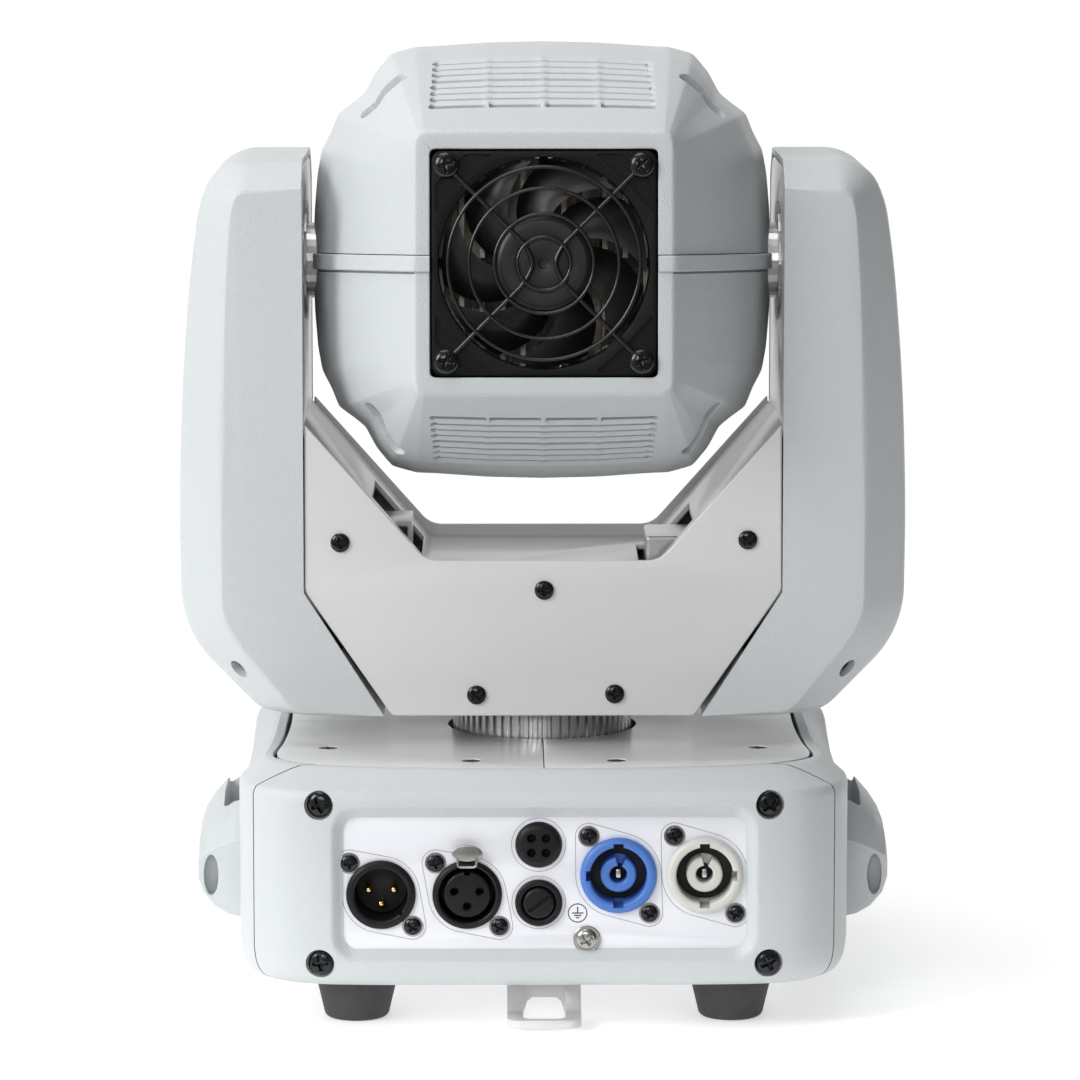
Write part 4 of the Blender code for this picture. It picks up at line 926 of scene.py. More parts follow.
fc = lathe("fuse_cap_turned", rounded_profile([(0, -2.2), (4.3, -2.2), (4.9, -1.7), (4.9, 6.5), (0, 6.5)], 0.4), "Y", (x, PANEL_Y, z), BLACK, 80)
slot = block("driver_slot", -3.9, 3.9, -3.0, -1.3, -0.6, 0.6, None)
slot.data.transform(Matrix.Translation(Vector((x, PANEL_Y, z)) * MM) @ Matrix.Rotation(math.radians(-38), 4, "Y"))
fc = cut(fc, slot)
give(fc, "fuse_cap", "black_plastic", "fuse_cap", angle=40)

# twist-lock mains sockets
for key, node, mat, inner, slot_name, side in (("power_in", "power_in_socket", BLUE, BLUE, "blue_plastic", -1), ("power_out", "power_out_socket", GREY, GREY, "grey_plastic", 1)):
    x, z, _ = HOLES[key]
    bore = 8.9
    prof = rounded_profile([(bore, 11.0), (bore, -1.5), (bore + 0.5, -2.1), (10.9, -2.1), (11.5, -1.6), (12.0, -1.1), (12.0, -0.03), (10.9, -0.03), (10.9, 12.0), (0, 12.0)], 0.4)
    ring_ = lathe(node + "_ring", [(0, 11.0)] + prof, "Y", (x, PANEL_Y, z), mat, 110)
    cuts = [block("n1", x - 1.6, x + 1.6, PANEL_Y - 3.5, PANEL_Y + 8, z + 8.0, z + 10.2, None), block("n2", x + (side * 8.0 if side > 0 else -10.2), x + (10.2 if side > 0 else -8.0), PANEL_Y - 3.5, PANEL_Y + 8, z - 1.6, z + 1.6, None),
            block("n3", x - 1.6, x + 1.6, PANEL_Y - 3.5, PANEL_Y + 8, z - 10.2, z - 8.0, None)]
    ring_ = cut(ring_, joined("notches", cuts))
    give(ring_, "base", slot_name, node, angle=38)
    # painted shade: near-black floor deep in the socket's ring well
    dark = lathe(node + "_floor", rounded_profile([(5.5, 7.2), (8.8, 7.2), (8.8, 10.9), (5.5, 10.9)], 0.1), "Y", (x, PANEL_Y, z), SHADE_DARK, 72)
    give(dark, "base", None)
    post = lathe(node + "_post", [(0, 9.5)] + rounded_profile([(2.7, 9.5), (2.7, 0.7), (3.1, 0.3), (5.2, 0.3), (5.65, 0.8), (5.65, 10.8), (0, 10.8)], 0.35), "Y", (x, PANEL_Y, z), mat, 80)
    v = plate("vee", [[(x + 0.35, z + 1.0), (x - 1.5, z + 7.0), (x + 3.3, z + 7.0)]], PANEL_Y - 2, PANEL_Y + 6.0, None, "XZ")
    post = cut(post, v, block("centre", x - 1.9, x + 1.9, PANEL_Y - 2, PANEL_Y + 8.5, z - 1.9, z + 1.9, None))
    give(post, "base", None, angle=38)
    # painted shade: near-black disc at the bottom of the centre hole
    cap_ = lathe(node + "_well", rounded_profile([(0, 7.0), (2.5, 7.0), (2.6, 9.4), (0, 9.4)], 0.1), "Y", (x, PANEL_Y, z), SHADE_DARK, 32)
    give(cap_, "base", None)
    blade_ = block(node + "_contact", x - 0.7, x + 0.7, PANEL_Y + 2.2, PANEL_Y + 7.2, z - 1.3, z + 1.3, STEEL, 0.15)
    give(blade_, "base", None)

# top plates: sheet round the pulley, with flush screws and a dark joint beside them
PE = [(ex_ - 1.2 * ex_ / 86.0, ey_ + 1.3) for ex_, ey_ in EDGE]
PE = spline_fill([(-PE[1][0], PE[1][1])] + PE + [(PE[-2][0], -PE[-2][1])], 8)[8:-8]
for side, sx in (("right", 1), ("left", -1)):
    half = [(0.15, PE[0][1])] + [p for p in PE if p[0] > 0.2]
    half = half + [(x_, -y_) for x_, y_ in reversed([p for p in half[:-1]])]
    ring_pts = [(31.0 * math.cos(math.radians(a)), 31.0 * math.sin(math.radians(a))) for a in np.linspace(89.7, -89.7, 60)]
    pts = half + ring_pts
    pts = [(sx * a, b) for a, b in pts]
    tp = plate(f"top_plate_sheet_{side}", [pts], 81.02, 82.5, WHITE, "XY", 0.15, 2)
    spots = [(sx * 69.0, -47.0), (sx * 23.0, -71.0), (sx * 69.0, 47.0), (sx * 23.0, 71.0)]
    tp = cut(tp, joined("holes", [lathe("h", [(0, 80.0), (2.2, 80.0), (2.2, 81.6), (3.4, 82.6), (3.4, 84.0), (0, 84.0)], "Z", (a, b, 0), None, 40) for a, b in spots]))
    give(tp, "base", "white_paint", f"top_plate_{side}", angle=38)
    for k, (a, b) in enumerate(spots):
        phillips(f"plate_screw_{side}_{k}", (a, b, 81.75), (0, 0, 1), 3.15, 0.72, SCREW, "base", turn=9 + 52 * k, flat=True, shank=2.0)

# =====================================================================
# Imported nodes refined: the same shape with worked edges
# =====================================================================
NODE_SLOT = {e["node"]: e.get("material_slot") for e in frame["record"].get("subparts", [])}


def copy_node(node, name=None, weld=2e-6, flat=1.2):
    me = NODES[node].data.copy()
    bm = bmesh.new()
    bm.from_mesh(me)
    bmesh.ops.remove_doubles(bm, verts=bm.verts, dist=weld)
    bmesh.ops.dissolve_limit(bm, angle_limit=math.radians(flat), verts=bm.verts, edges=bm.edges)
    outward(bm)
    bm.to_mesh(me)
    bm.free()
    me.materials.clear()
    ob = bpy.data.objects.new(name or node + "_worked", me)
    SCENE.collection.objects.link(ob)
    return ob


def refine(node, mat, width, segments=3, angle=28, cutters=(), sharp=32):
    ob = copy_node(node)
    ob.data.materials.append(mat)
    if cutters:
        ob = cut(ob, *cutters)
    if width:
        ob = bevel(ob, width, segments, angle)
    return give(ob, NODES[node]["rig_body"], NODE_SLOT.get(node), node, angle=sharp)


# =====================================================================
# YOKE ARMS
# =====================================================================
SILHOUETTE = [(76.6, 132.6), (51.0, 92.4), (91.0, 92.4), (111.6, 113.6), (116.6, 126.0), (117.0, 160.0), (115.6, 200.0), (112.8, 235.0), (109.8, 256.5), (105.5, 266.2), (97.5, 270.5), (76.6, 270.5)]
FACE = [(76.6, 132.6), (51.0, 92.6), (79.0, 93.0), (97.6, 115.6), (102.8, 125.0), (103.2, 160.0), (102.2, 200.0), (100.8, 235.0), (99.4, 254.0), (98.2, 259.4), (95.4, 261.6), (76.6, 261.8)]


def rounded_pair(a, b, radii, n=6):
    """Two matching outlines with the same corners rounded alike."""
    return round_corners(a, radii, n), round_corners(b, radii, n)


ARM_R = [0.3, 0.3, 5.0, 9.0, 9.0, 30.0, 30.0, 22.0, 10.0, 7.0, 7.0, 0.4]


def arm(side_name, sx):
    S, F = rounded_pair(SILHOUETTE, FACE, ARM_R, 7)
    S, F = np.array(S), np.array(F)
    rows = []

    def row(q, y):
        rows.append([(sx * x, y, z) for x, z in q])

    # face edge to silhouette edge, each turn rounded
    for s in (-1, 1):
        seq = []
        centre = F.mean(0)
        shrink = 1.6
        lens = np.linalg.norm(F - centre, axis=1)[:, None]
        # the edges towards the head stay square
        free = np.array([0.0 if k // 8 in (0, 1, 11) else 1.0 for k in range(len(F))])[:, None]
        Fi = F - (F - centre) / lens * shrink * free
        Fo = F + (S - F) * 0.11
        ys = 47 - 12.5 * 0.11
        for t in np.linspace(0, 1, 7):
            q = (1 - t) ** 2 * Fi + 2 * t * (1 - t) * F + t * t * Fo
            y = (1 - t) ** 2 * 47 + 2 * t * (1 - t) * 47 + t * t * ys
            seq.append((q, y))
        Sa = F + (S - F) * 0.84
        ya = 47 - 12.5 * 0.84
        yb = 34.5 - 3.4
        for t in np.linspace(0, 1, 7):
            q = (1 - t) ** 2 * Sa + 2 * t * (1 - t) * S + t * t * S
            y = (1 - t) ** 2 * ya + 2 * t * (1 - t) * 34.5 + t * t * yb
            seq.append((q, y))
        if s < 0:
            for q, y in seq:
                row(q, -y)
            for y in (-20, -10, 0, 10, 20):
                row(S, y)
        else:
            for q, y in reversed(seq):
                row(q, y)
    bm = bmesh.new()
    vs = [[bm.verts.new(Vector(p) * MM) for p in r] for r in rows]
    n = len(vs[0])
    for a, b in zip(vs, vs[1:]):
        for i in range(n):
            j = (i + 1) % n
            bm.faces.new((a[i], a[j], b[j], b[i]))
    bm.faces.new(vs[0])
    bm.faces.new(vs[-1])
    ob = make(f"arm_moulding_{side_name}", bm, SHELL)
    # hollow it behind a 2.2 mm wall, open towards the head
    bm = bmesh.new()
    def inset(q, w):
        out = []
        m = len(q)
        for i in range(m):
            a, b, c = (Vector(q[(i + k) % m]) for k in (-1, 0, 1))
            u, v = (b - a).normalized(), (c - b).normalized()
            nrm = Vector((-(u.y + v.y), u.x + v.x))
            nrm.normalize()
            k = w / max(0.35, nrm.dot(Vector((-u.y, u.x))))
            out.append(b + nrm * k)
        return out
    A = [Vector(p) for p in SILHOUETTE]
    area2 = sum(A[i].x * A[(i + 1) % len(A)].y - A[(i + 1) % len(A)].x * A[i].y for i in range(len(A)))
    w = 2.2 if area2 > 0 else -2.2
    Si, Fi = inset(SILHOUETTE, w), inset(FACE, w)
    open_x = lambda q: [Vector((76.6 - 3.0, p.y)) if abs(p.x - 76.6) < 3.2 and k in (0, 11) else p for k, p in enumerate(q)]
    Si, Fi = open_x(Si), open_x(Fi)
    loops = [(Fi, -44.6), (Si, -33.4), (Si, 33.4), (Fi, 44.6)]
    vs = [[bm.verts.new((sx * p.x * MM, y * MM, p.y * MM)) for p in q] for q, y in loops]
    for a, b in zip(vs, vs[1:]):
        for i in range(len(a)):
            j = (i + 1) % len(a)
            bm.faces.new((a[i], a[j], b[j], b[i]))
    bm.faces.new(vs[0])
    bm.faces.new(vs[-1])
    core = make("arm_core", bm, None)
    holes = [core]
    # oval screw recesses in the sloping facets of the lower corner
    spots = [(Vector((sx * 97.0, s * 40.0, 107.8)), Vector((sx * 0.61, s * 0.61, -0.50)).normalized()) for s in (-1, 1)]
    along = Vector((sx * 18.6, 0, 22.6)).normalized()
    for at, d in spots:
        h = lathe("recess", [(0, -5.5), (2.5, -5.5), (2.5, 4.0), (0, 4.0)], "Z", (0, 0, 0), SHELL, 36)
        side = d.cross(along).normalized()
        m = Matrix((along, side, d)).transposed().to_4x4()
        h.data.transform(Matrix.Translation(at * MM) @ m @ Matrix.Diagonal((1.35, 1.0, 1.0, 1.0)))
        holes.append(h)
    ob = cut(ob, *holes)
    give(ob, "yoke", "grained_shell", f"arm_cover_{side_name}", angle=30)
    for k, (at, d) in enumerate(spots):
        phillips(f"arm_screw_{side_name}_{k}", at - d * 4.2, d, 2.45, 1.4, SCREW, "yoke", turn=25 * k + 10, shank=1.2)


arm("right", 1)
arm("left", -1)

# yoke covers: sheet with rounded edges, and their screws
COVER = [(-76.1, 186.6), (-37.2, 142.9), (37.2, 142.9), (76.1, 186.6), (76.3, 133.2), (48.4, 92.6), (-48.4, 92.6), (-76.3, 133.2)]
COVER_SCREWS = [(-64.9, 148.8), (65.4, 149.6), (0.3, 133.4), (-21.4, 99.5), (22.9, 99.8)]
for name, s in (("rear", -1), ("front", 1)):
    y0, y1 = sorted((s * 44.72, s * 46.3))
    c = plate(f"yoke_cover_sheet_{name}", [round_corners(COVER, [1.2, 4.0, 4.0, 1.2, 1.5, 1.5, 1.5, 1.5], 6)], y0, y1, WHITE, "XZ", 0.5, 3)
    holes = [lathe("hole", [(0, -2.0), (1.7, -2.0), (1.7, 2.0), (0, 2.0)], "Y", (x, s * 45.5, z), None, 24) for x, z in COVER_SCREWS]
    c = cut(c, joined("holes", holes))
    give(c, "yoke", "white_paint", f"yoke_cover_{name}", angle=40)
    for k, (x, z) in enumerate(COVER_SCREWS):
        phillips(f"yoke_screw_{name}_{k}", (x, s * 46.28, z), (0, s, 0), 3.05, 1.5, SCREW, "yoke", turn=12 + 41 * k, shank=3.0)

refine("yoke_frame", WHITE, 0.45, 3, 30)
refine("loom_bracket", WHITE, 0.3, 2, 30)
for n in ("handle_left", "handle_right"):
    refine(n, SHELL, 1.1, 4, 24, sharp=38)
for n in ("safety_loop",):
    refine(n, WHITE, 0.3, 2, 30)
for n in ("foot_rear_left", "foot_rear_right", "foot_front_left", "foot_front_right"):
    b0, b1 = (Vector(v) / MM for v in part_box(n))
    cx, cy = (b0.x + b1.x) / 2, (b0.y + b1.y) / 2
    f = lathe(n + "_moulded", rounded_profile([(0, 0.02), (2.4, 0.02), (2.4, 1.2), (4.4, 1.2), (4.4, 0.02), (9.0, 0.02), (10.2, 1.0), (13.15, 13.6), (13.15, 15.25), (0, 15.25)], 0.7, 4), "Z", (cx, cy, 0), RUBBER, 72)
    give(f, "base", "black_rubber", n, angle=40)

# pan pulley: toothed rim with a dark groove under it
TEETH, R0, R1 = 60, 28.1, 29.3
outline = []
for k in range(TEETH):
    a = 2 * math.pi * k / TEETH
    w = 2 * math.pi / TEETH
    for f, r in ((0.0, R1), (0.12, R1), (0.42, R1), (0.52, R0), (0.60, R0), (0.86, R0), (0.94, R0 + 0.5)):
        outline.append((r * math.cos(a + w * f), r * math.sin(a + w * f)))
p = plate("pan_pulley_teeth", [outline, circle(21.6, n=90)], 57.0, 92.4, STEEL, "XY", 0.1, 1)
give(p, "yoke", "aluminium", "pan_pulley", angle=35)

# =====================================================================
# HEAD, in its own frame: x across, d towards the lens, h up
# =====================================================================
MID = [(0, 71.0), (18, 70.6), (35, 69.4), (41, 69.2), (49, 67.0), (54, 61.0), (57.6, 54.2), (61, 51.4), (66.2, 47.6), (68.6, 41.5), (71.6, 35.8), (73.0, 28.0), (74.0, 16.0), (74.4, 2.7)]
RIM = [(0, 41.2), (18, 41.2), (35.4, 41.0), (37.6, 40.9), (39.0, 40.3), (39.8, 39.6), (40.2, 38.8), (40.4, 37.8), (40.5, 36.4), (40.6, 34.0), (40.6, 29.0), (40.6, 22.0), (40.6, 12.0), (40.6, 2.7)]
LIP = [(0, 35.6), (18, 35.6), (33.6, 35.6), (34.3, 35.5), (34.8, 35.3), (35.1, 35.1), (35.3, 34.8), (35.5, 34.3), (35.6, 33.6), (35.6, 32.4), (35.6, 28.0), (35.6, 21.0), (35.6, 12.0), (35.6, 2.7)]
ANG = [90, 76, 60, 54, 48, 42, 38, 35, 31, 26.5, 21, 15, 9, 3.44]
FRONT = [(45.0 * math.cos(math.radians(a)), 45.0 * math.sin(math.radians(a))) for a in ANG]
SPANS = [22, 24, 12, 12, 10, 10, 8, 8, 8, 8, 8, 6, 6]


def eased(points, soft=0.16):
    """Fine points along a polyline whose corners are softly rounded."""
    P = [Vector(p) for p in points]
    out = []
    for i in range(len(P) - 1):
        for k in range(SPANS[i]):
            f = k / SPANS[i]
            a, b = P[i], P[i + 1]
            p = a + (b - a) * f
            # near a key point the line is pulled onto a parabola between its neighbours
            if f < soft * 2 and i > 0:
                g = 1 - f / (soft * 2)
                c = P[i - 1] + (a - P[i - 1]) * (1 - soft)
                e = a + (b - a) * soft
                p = p + ((c + e) / 2 - a) * 0.5 * g * g
            if f > 1 - soft * 2 and i < len(P) - 2:
                g = 1 - (1 - f) / (soft * 2)
                c = a + (b - a) * (1 - soft)
                e = b + (P[i + 2] - b) * soft
                p = p + ((c + e) / 2 - b) * 0.5 * g * g
            out.append((p.x, p.y))
    out.append(tuple(P[-1]))
    return np.array(out)


E_MID, E_RIM, E_LIP, E_FRONT = (eased(q) for q in (MID, RIM, LIP, FRONT))
UPAR = np.concatenate([np.arange(SPANS[i]) / SPANS[i] + i for i in range(13)] + [[13.0]])


def head_section(d):
    """Outline of the head at depth d, from the lip round the fan to the lens."""
    if d <= -5:
        w = np.interp(d, [-78, -62, -38, -30, -5], [0, 0.33, 0.74, 0.86, 1.0])
        # eases the kinks between slopes
        w2 = np.mean([np.interp(d + s, [-78, -62, -38, -30, -5, 26], [0, 0.33, 0.74, 0.86, 1.0, 1.0]) for s in (-3, -1.5, 0, 1.5, 3)]) if d > -74 else w
        return E_RIM + (E_MID - E_RIM) * w2
    if d <= 26:
        return E_MID
    f = (d - 26) / 44.0
    f = f if f > 0.08 else f * f / 0.16 + f * 0.5
    return E_MID + (E_FRONT - E_MID) * min(1.0, f)


DS = [-74.5, -73, -71.5, -70, -68.6, -67.4] + list(np.arange(-66.2, -30.0, 0.36)) + list(np.arange(-29.5, -6, 1.6)) + list(np.arange(-5, 26, 2.2)) + list(np.arange(26, 70, 2.2)) + [70.0]
VENT_ROWS = [-64.6 + 4.05 * k for k in range(8)]


def head_relief(x, d, h, u, sign, ds):
    """Depth pressed into the skin at each point, in millimetres: louvres and corner slots."""
    ax = np.abs(x)
    depth = np.zeros_like(x)
    # louvres: each row is a sharp slot with faint ribs, then a lip that rises back to the skin
    for k, row in enumerate(VENT_ROWS):
        t = d - row
        half = 35.2 - 0.15 * k
        end = np.clip((half - ax) / 0.8, 0, 1)
        wide = 1.85 if k else 2.3
        slot = np.where((t > -wide / 2) & (t < wide / 2), 1.0, 0.0)
        lip = np.where((t >= wide / 2) & (t < 3.1), 0.7 * (1 - (t - wide / 2) / (3.1 - wide / 2)), 0.0)
        rib = np.ones_like(x)
        for rx in (-17.5, 0.0, 17.5):
            rib = np.minimum(rib, np.clip((np.abs(x - rx) - 0.75) / 0.5, 0 if k == 0 else 0.55, 1))
        inside = (ax < half) & (u < 3.2)
        depth = np.maximum(depth, np.where(inside, (slot * (2.9 if k == 0 else 2.3) * rib + lip * rib) * end, 0))
        # round ends of each slot
        dot = np.hypot(ax - half + 0.6, t * 1.0)
        depth = np.maximum(depth, np.where((u < 3.4), np.clip((1.25 - dot) / 0.3, 0, 1) * 3.0, 0))
    # crescent slots at the corners
    pts = ((46.2, -42.0, 58.4), (51.8, -39.6, 54.4), (55.6, -37.8, 47.6)) if sign > 0 else ((54.3, -42.0, 46.6), (51.6, -38.8, 54.0), (46.6, -36.6, 59.6))
    P = np.stack([ax, d, np.abs(h)], -1)
    best = np.full(x.shape, 99.0)
    for a, b in zip(pts, pts[1:]):
        a, b = np.array(a), np.array(b)
        f = np.clip(((P - a) @ (b - a)) / ((b - a) @ (b - a)), 0, 1)
        best = np.minimum(best, np.linalg.norm(P - (a + f[..., None] * (b - a)), axis=-1))
    depth = np.maximum(depth, np.clip((2.7 - best) / 0.5, 0, 1) * 4.0)
    return depth


def head_half(name, sign, node):
    cols = len(UPAR)
    rows = []
    # lip round the fan, then a rounded turn onto the slope
    lip, rim = E_LIP, E_RIM
    s0 = head_section(-76.4)
    for f, dd in ((0.0, -76.6), (0.0, -77.7), (0.06, -78.0), (0.5, -78.0), (0.80, -78.0)):
        rows.append((lip + (rim - lip) * f, dd, 0))
    a = lip + (rim - lip) * 0.80
    for k in range(1, 6):
        t = k / 5
        rows.append(((1 - t) ** 2 * a + 2 * t * (1 - t) * rim + t * t * s0, (1 - t) ** 2 * -78.0 + 2 * t * (1 - t) * -78.0 + t * t * -76.4, 0))
    for dd in DS:
        rows.append((head_section(dd), dd, 1))
    grid, rel = [], []
    edge = np.array([(q[-1, 0], dd) for q, dd, _ in rows])
    lean = np.gradient(edge, axis=0)
    lean /= np.linalg.norm(lean, axis=1)[:, None]
    out_dir = np.stack([lean[:, 1], -lean[:, 0]], 1)
    out_dir[0] = out_dir[1] = (0.0, -1.0)
    for (q, dd, live), (nx, nd) in zip(rows, out_dir):
        x, h = q[:, 0], q[:, 1]
        full_x = np.concatenate([x[::-1], -x[1:]])
        full_h = np.concatenate([h[::-1], h[1:]])
        us = list(np.concatenate([UPAR[::-1], UPAR[1:]]))
        pts = [(px, dd, sign * ph) for px, ph in zip(full_x, full_h)]
        if sign < 0:
            # the raised band that laps the joint, with a fine groove under it
            proud = float(np.interp(dd, [-78, 55, 66], [1.3, 1.3, 0.0]))
            dip = float(np.interp(dd, [-77.9, -77, 60, 68], [0.0, 1.1, 1.1, 0.0]))
            prof = [(-dip, 2.42), (proud * 0.75, 2.4), (proud, 2.05), (proud, -2.25), (proud * 0.75, -2.62), (-dip, -2.7), (-dip, -3.25)]
            first = [(x[-1] + nx * o, dd + nd * o, ph) for o, ph in prof]
            last = [(-a_, b_, c_) for a_, b_, c_ in reversed(first)]
            pts = first + [(px, dd, -max(ph, 3.4)) for px, ph in zip(full_x, full_h)] + last
            us = [13.0] * 7 + us + [13.0] * 7
        grid.append(pts)
        rel.append((us, live))
    G = np.array(grid)
    U = np.array([r[0] for r in rel])
    live = np.array([r[1] for r in rel])[:, None]
    R = head_relief(G[..., 0], G[..., 1], G[..., 2], U, sign, None) * live
    bm = bmesh.new()
    vs = [[bm.verts.new(Vector(p) * MM) for p in r] for r in G]
    for a, b in zip(vs, vs[1:]):
        for i in range(len(a) - 1):
            bm.faces.new((a[i], a[i + 1], b[i + 1], b[i]))
    ob = face_away(make(name, bm, SHELL, close=False), (0, 0, 0))
    n = len(ob.data.vertices)
    ob.data.update()
    normals = np.array([v.normal[:] for v in ob.data.vertices])
    # the wall's cut edges take the near-black material: painted shade in the seam gaps
    ob = solidify(ob, 4.8, even=False, rim=SHADE_DARK)
    co = np.array([v.co[:] for v in ob.data.vertices])
    r = R.reshape(-1)
    co[:n] -= normals[:n] * (r * MM)[:, None]
    ob.data.vertices.foreach_set("co", co.reshape(-1))
    deep = np.zeros(len(co))
    deep[:n] = r
    louvre = np.zeros(len(co), bool)
    louvre[:n] = (np.abs(G[..., 0]) < 36.5).reshape(-1)
    # faces deep in the nearest louvre row and at the slot ends take the near-black material: painted shade at the slot
    # bottoms
    for p in ob.data.polygons:
        if all(deep[i] > 2.6 and louvre[i] for i in p.vertices):
            p.material_index = 1
    ob.data.update()
    ob.data.transform(HEAD)
    return give(ob, "head", "grained_shell", node, angle=38)


head_half("head_moulding_upper", 1, "head_shell_upper")
head_half("head_moulding_lower", -1, "head_shell_lower")


# black gasket behind the fan, which closes the space round its frame
gasket = plate("fan_gasket", [rounded_rect(-39.5, 39.5, -39.5, 39.5, 5.0, 6), circle(33.3, n=96)], -62.3, -61.7, RUBBER, "XZ", 0.1)
moved(gasket, HEAD)
give(gasket, "head", None, angle=35)

# fan: frame with chamfered corners, screws on the guard's eyes, and the guard itself
FAN_D0, FAN_D1 = -77.6, -62.6
fr = plate("fan_frame_fine", [rounded_rect(-35, 35, -35, 35, 3.2, 6), circle(33.0, n=120)], FAN_D0, FAN_D1, BLACK_FRAME, "XZ", 0.25)
fr = boolean(fr, [lathe("hub_back", [(0, FAN_D1 - 2), (13.8, FAN_D1 - 2), (14, FAN_D1), (0, FAN_D1)], "Y", (0, 0, 0), BLACK_FRAME, 64),
                  block("strut_a", -33.6, 33.6, FAN_D1 - 2.0, FAN_D1 - 0.1, -1.5, 1.5, BLACK_FRAME), block("strut_b", -1.5, 1.5, FAN_D1 - 2.1, FAN_D1 - 0.2, -33.6, 33.6, BLACK_FRAME)], "UNION")
pockets = []
for sx in (-1, 1):
    for sz in (-1, 1):
        # shallow sloped recess between each corner boss and the round opening
        p = plate("pocket", [round_corners([(sx * 33.9, sz * 16.0), (sx * 25.5, sz * 25.5), (sx * 16.0, sz * 33.9), (sx * 24.5, sz * 34.0), (sx * 34.0, sz * 24.5)], 0.8, 3)], FAN_D0 - 1, FAN_D0 + 1.1, None, "XZ")
        pockets.append(p)
fr = cut(fr, joined("pockets", pockets))
fr = cut(fr, joined("bores", [lathe("bore", [(0, FAN_D0 - 2), (1.9, FAN_D0 - 2), (1.9, FAN_D1 + 1), (0, FAN_D1 + 1)], "Y", (sx * 30.5, 0, sz * 30.6), None, 24) for sx in (-1, 1) for sz in (-1, 1)]))
moved(fr, HEAD)
give(fr, "head", "black_plastic", "fan_frame")

rings = []
RD = -79.0
for r in (8.3, 15.5, 23.4, 30.0):
    rings.append(sweep(f"ring{r}", [(r * math.cos(2 * math.pi * k / 96), RD, r * math.sin(2 * math.pi * k / 96)) for k in range(96)], 0.62, WIRE, 12, True))


WD = -78.0
for sx in (-1, 1):
    # each stay runs from one eye, bends near the hub and runs on to the other
    rings.append(sweep(f"stay{sx}", bent([(sx * 28.0, WD + 0.25, 28.0), (sx * 5.9, WD + 0.05, 5.9), (sx * 3.0, WD, 0), (sx * 5.9, WD + 0.05, -5.9), (sx * 28.0, WD + 0.25, -28.0)], 3.2), 0.78, WIRE, 12))
    for sz in (-1, 1):
        eye = [(sx * 30.5 + 2.9 * math.cos(2 * math.pi * k / 40), WD + 0.1, sz * 30.6 + 2.9 * math.sin(2 * math.pi * k / 40)) for k in range(40)]
        rings.append(sweep(f"eye{sx}{sz}", eye, 0.72, WIRE, 12, True))
guard = joined("fan_guard_wires", rings, WIRE)
moved(guard, HEAD)
give(guard, "head", "black_wire", "fan_guard", angle=60)
for k, (sx, sz) in enumerate(((-1, 1), (1, 1), (-1, -1), (1, -1))):
    phillips(f"fan_screw_{k}", (sx * 30.5, -78.75, sz * 30.6), (0, -1, 0), 3.8, 2.0, SCREW, "head", turn=10 + 31 * k, shank=8.0, space=HEAD)

# rotor: hub cap with a ring moulded in it, and curved blades
hub = lathe("rotor_hub", rounded_profile([(0, -76.2), (1.5, -76.2), (1.7, -76.55), (7.6, -76.6), (7.9, -76.35), (8.7, -76.35), (9.0, -76.7), (13.4, -76.7), (14.8, -75.9), (14.8, -65.2), (0, -65.2)], 0.4), "Y", (0, 0, 0), BLACK_ROTOR, 96)
parts = [hub]
NB = 7
for k in range(NB):
    bm = bmesh.new()
    rows = []
    for j in range(15):
        f = j / 14
        r = 14.2 + (32.1 - 14.2) * f
        lean = -0.62 * f ** 1.25
        chord = 0.36 + 0.02 * f
        row = []
        for side in (1, -1):
            for i in range(9):
                e = -1 + 2 * i / 8
                e = e if side > 0 else -e
                ang = lean + chord * e + 2 * math.pi * k / NB
                camber = 1.5 * (1 - e * e)
                dd = -70.3 + e * 4.4 - camber - side * 0.42 * (1 - abs(e) ** 3)
                row.append(bm.verts.new((r * MM * math.cos(ang), dd * MM, r * MM * math.sin(ang))))
        rows.append(row)
    for a, b in zip(rows, rows[1:]):
        for i in range(18):
            bm.faces.new((a[i], a[(i + 1) % 18], b[(i + 1) % 18], b[i]))
    bm.faces.new(rows[0])
    bm.faces.new(rows[-1])
    parts.append(make(f"blade{k}", bm, BLACK_ROTOR))
rotor = joined("fan_rotor_blades", parts, BLACK_ROTOR)
moved(rotor, HEAD)
give(rotor, "fan", "black_plastic", "fan_rotor", angle=50)
lead = sweep("fan_lead_red", bent([(8.0, -63.6, 20.0), (9.5, -63.9, 25.0), (13.0, -63.8, 29.0), (15.0, -63.2, 31.5)], 2.0), 0.55, RED, 8)
moved(lead, HEAD)
give(lead, "head", None, angle=60)

# =====================================================================
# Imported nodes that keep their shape
# =====================================================================
KEEP = {
    "grained_shell": SHELL, "white_paint": WHITE, "panel_sheet": PANEL, "black_plastic": BLACK, "motor_black": MOTOR_BLACK,
    "black_wire": WIRE, "black_rubber": BELT, "aluminium": ALU, "steel": STEEL, "blue_plastic": BLUE, "grey_plastic": GREY,
    "bezel_black": BLACK, "circuit": PCB, "screen": SCREEN, "lens_glass": GLASS,
}
BY_NODE = {"tilt_motor": MOTOR, "heatsink": FINS, "gobo_wheel": ALU, "fan_rotor": BLACK}
gone = set()
for o in bpy.context.scene.objects:
    if "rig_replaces" in o.keys():
        gone.update(list(o["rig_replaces"]))
record_slots = {}
for entry in frame["record"].get("subparts", []):
    record_slots[entry["node"]] = entry.get("material_slot")
for name, ob in NODES.items():
    if name in gone:
        continue
    try:
        mat = BY_NODE.get(name) or KEEP.get(record_slots.get(name), BLACK)
        for i in range(max(1, len(ob.data.materials))):
            if i < len(ob.data.materials):
                ob.data.materials[i] = mat
            else:
                ob.data.materials.append(mat)
    except ReferenceError:
        continue

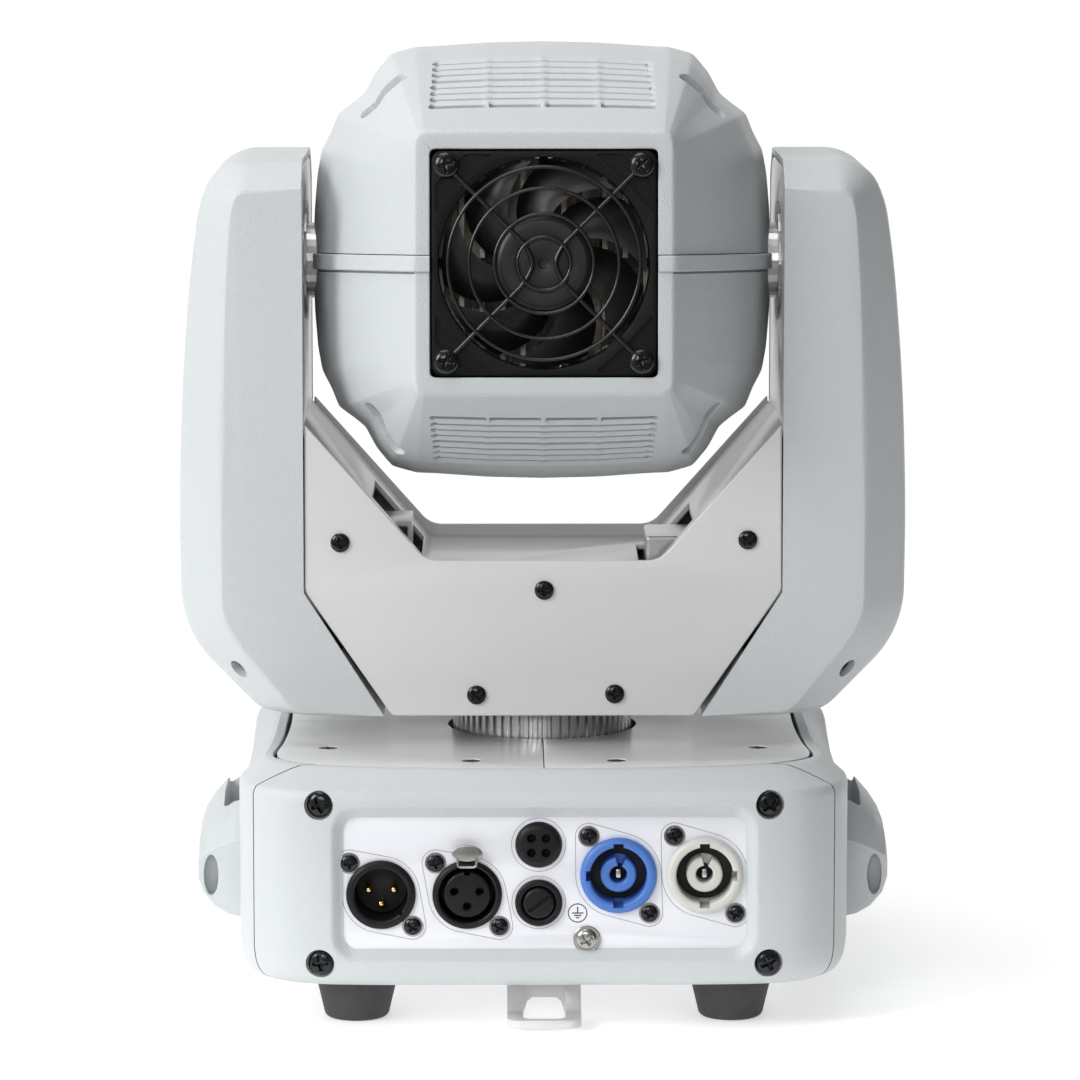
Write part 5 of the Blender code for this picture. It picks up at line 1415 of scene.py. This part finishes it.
# =====================================================================
# Floor, lights and camera
# =====================================================================
floor_mat = surface("studio_floor", (0.93, 0.93, 0.93), 0.6, vary=0.004, rough_vary=0.04, peel=200.0, peel_depth=0.00001)
fb = floor_mat.node_tree.nodes["Principled BSDF"]
fb.inputs["Emission Color"].default_value = (1, 1, 1, 1)
fb.inputs["Emission Strength"].default_value = 0.45
bm = bmesh.new()
bmesh.ops.create_grid(bm, x_segments=24, y_segments=24, size=1.0)
bmesh.ops.transform(bm, matrix=Matrix.Translation((0, 0.43, 0)) @ Matrix.Diagonal((2.0, 0.67, 1.0, 1.0)), verts=bm.verts)
floor = make("studio_floor", bm, floor_mat, close=False)

# a pale room: white behind the object, and otherwise fading from the left to the right
world = bpy.data.worlds.new("studio")
SCENE.world = world
world.use_nodes = True
wt = world.node_tree
bg = wt.nodes["Background"]
wco = wt.nodes.new("ShaderNodeTexCoord")
sep = wt.nodes.new("ShaderNodeSeparateXYZ")
wt.links.new(wco.outputs["Generated"], sep.inputs["Vector"])


def world_ramp(source, f0, f1, t0, t1):
    ramp = wt.nodes.new("ShaderNodeMapRange")
    for key, v in (("From Min", f0), ("From Max", f1), ("To Min", t0), ("To Max", t1)):
        ramp.inputs[key].default_value = v
    wt.links.new(sep.outputs[source], ramp.inputs["Value"])
    return ramp.outputs[0]


top_of = wt.nodes.new("ShaderNodeMath")
top_of.operation = "MAXIMUM"
wt.links.new(world_ramp("Y", 0.45, 0.85, 0.0, 1.02), top_of.inputs[0])
wt.links.new(world_ramp("X", -0.8, 0.8, 0.55, 0.10), top_of.inputs[1])
wt.links.new(top_of.outputs[0], bg.inputs["Strength"])
bg.inputs["Color"].default_value = (1.0, 1.0, 1.0, 1)


def area(name, loc, target, size, power, colour=(1, 1, 1)):
    d = bpy.data.lights.new(name, "AREA")
    d.shape, d.size, d.size_y, d.energy, d.color = "RECTANGLE", size[0], size[1], power, colour
    o = bpy.data.objects.new(name, d)
    SCENE.collection.objects.link(o)
    o.location = loc
    o.rotation_euler = (Vector(target) - Vector(loc)).to_track_quat("-Z", "Y").to_euler()
    return o


area("key_left", (-1.25, -0.95, 0.95), (0, 0, 0.16), (0.6, 0.8), 17.0)
area("top", (-0.25, -0.15, 1.35), (0, 0, 0.1), (0.9, 0.7), 5.5)
area("front_soft", (-0.45, -2.4, 1.0), (0, 0, 0.22), (1.0, 0.7), 12.0)

cam_data = bpy.data.cameras.new("camera")
cam_data.lens, cam_data.sensor_width = 176.0, 36.0
cam_data.clip_start, cam_data.clip_end = 0.05, 20.0
cam = bpy.data.objects.new("camera", cam_data)
SCENE.collection.objects.link(cam)
cam.location = (-0.013575, -1.718897, 0.37274)
cam.rotation_euler = (math.radians(82.4), 0.0, math.radians(-0.43))
SCENE.camera = cam
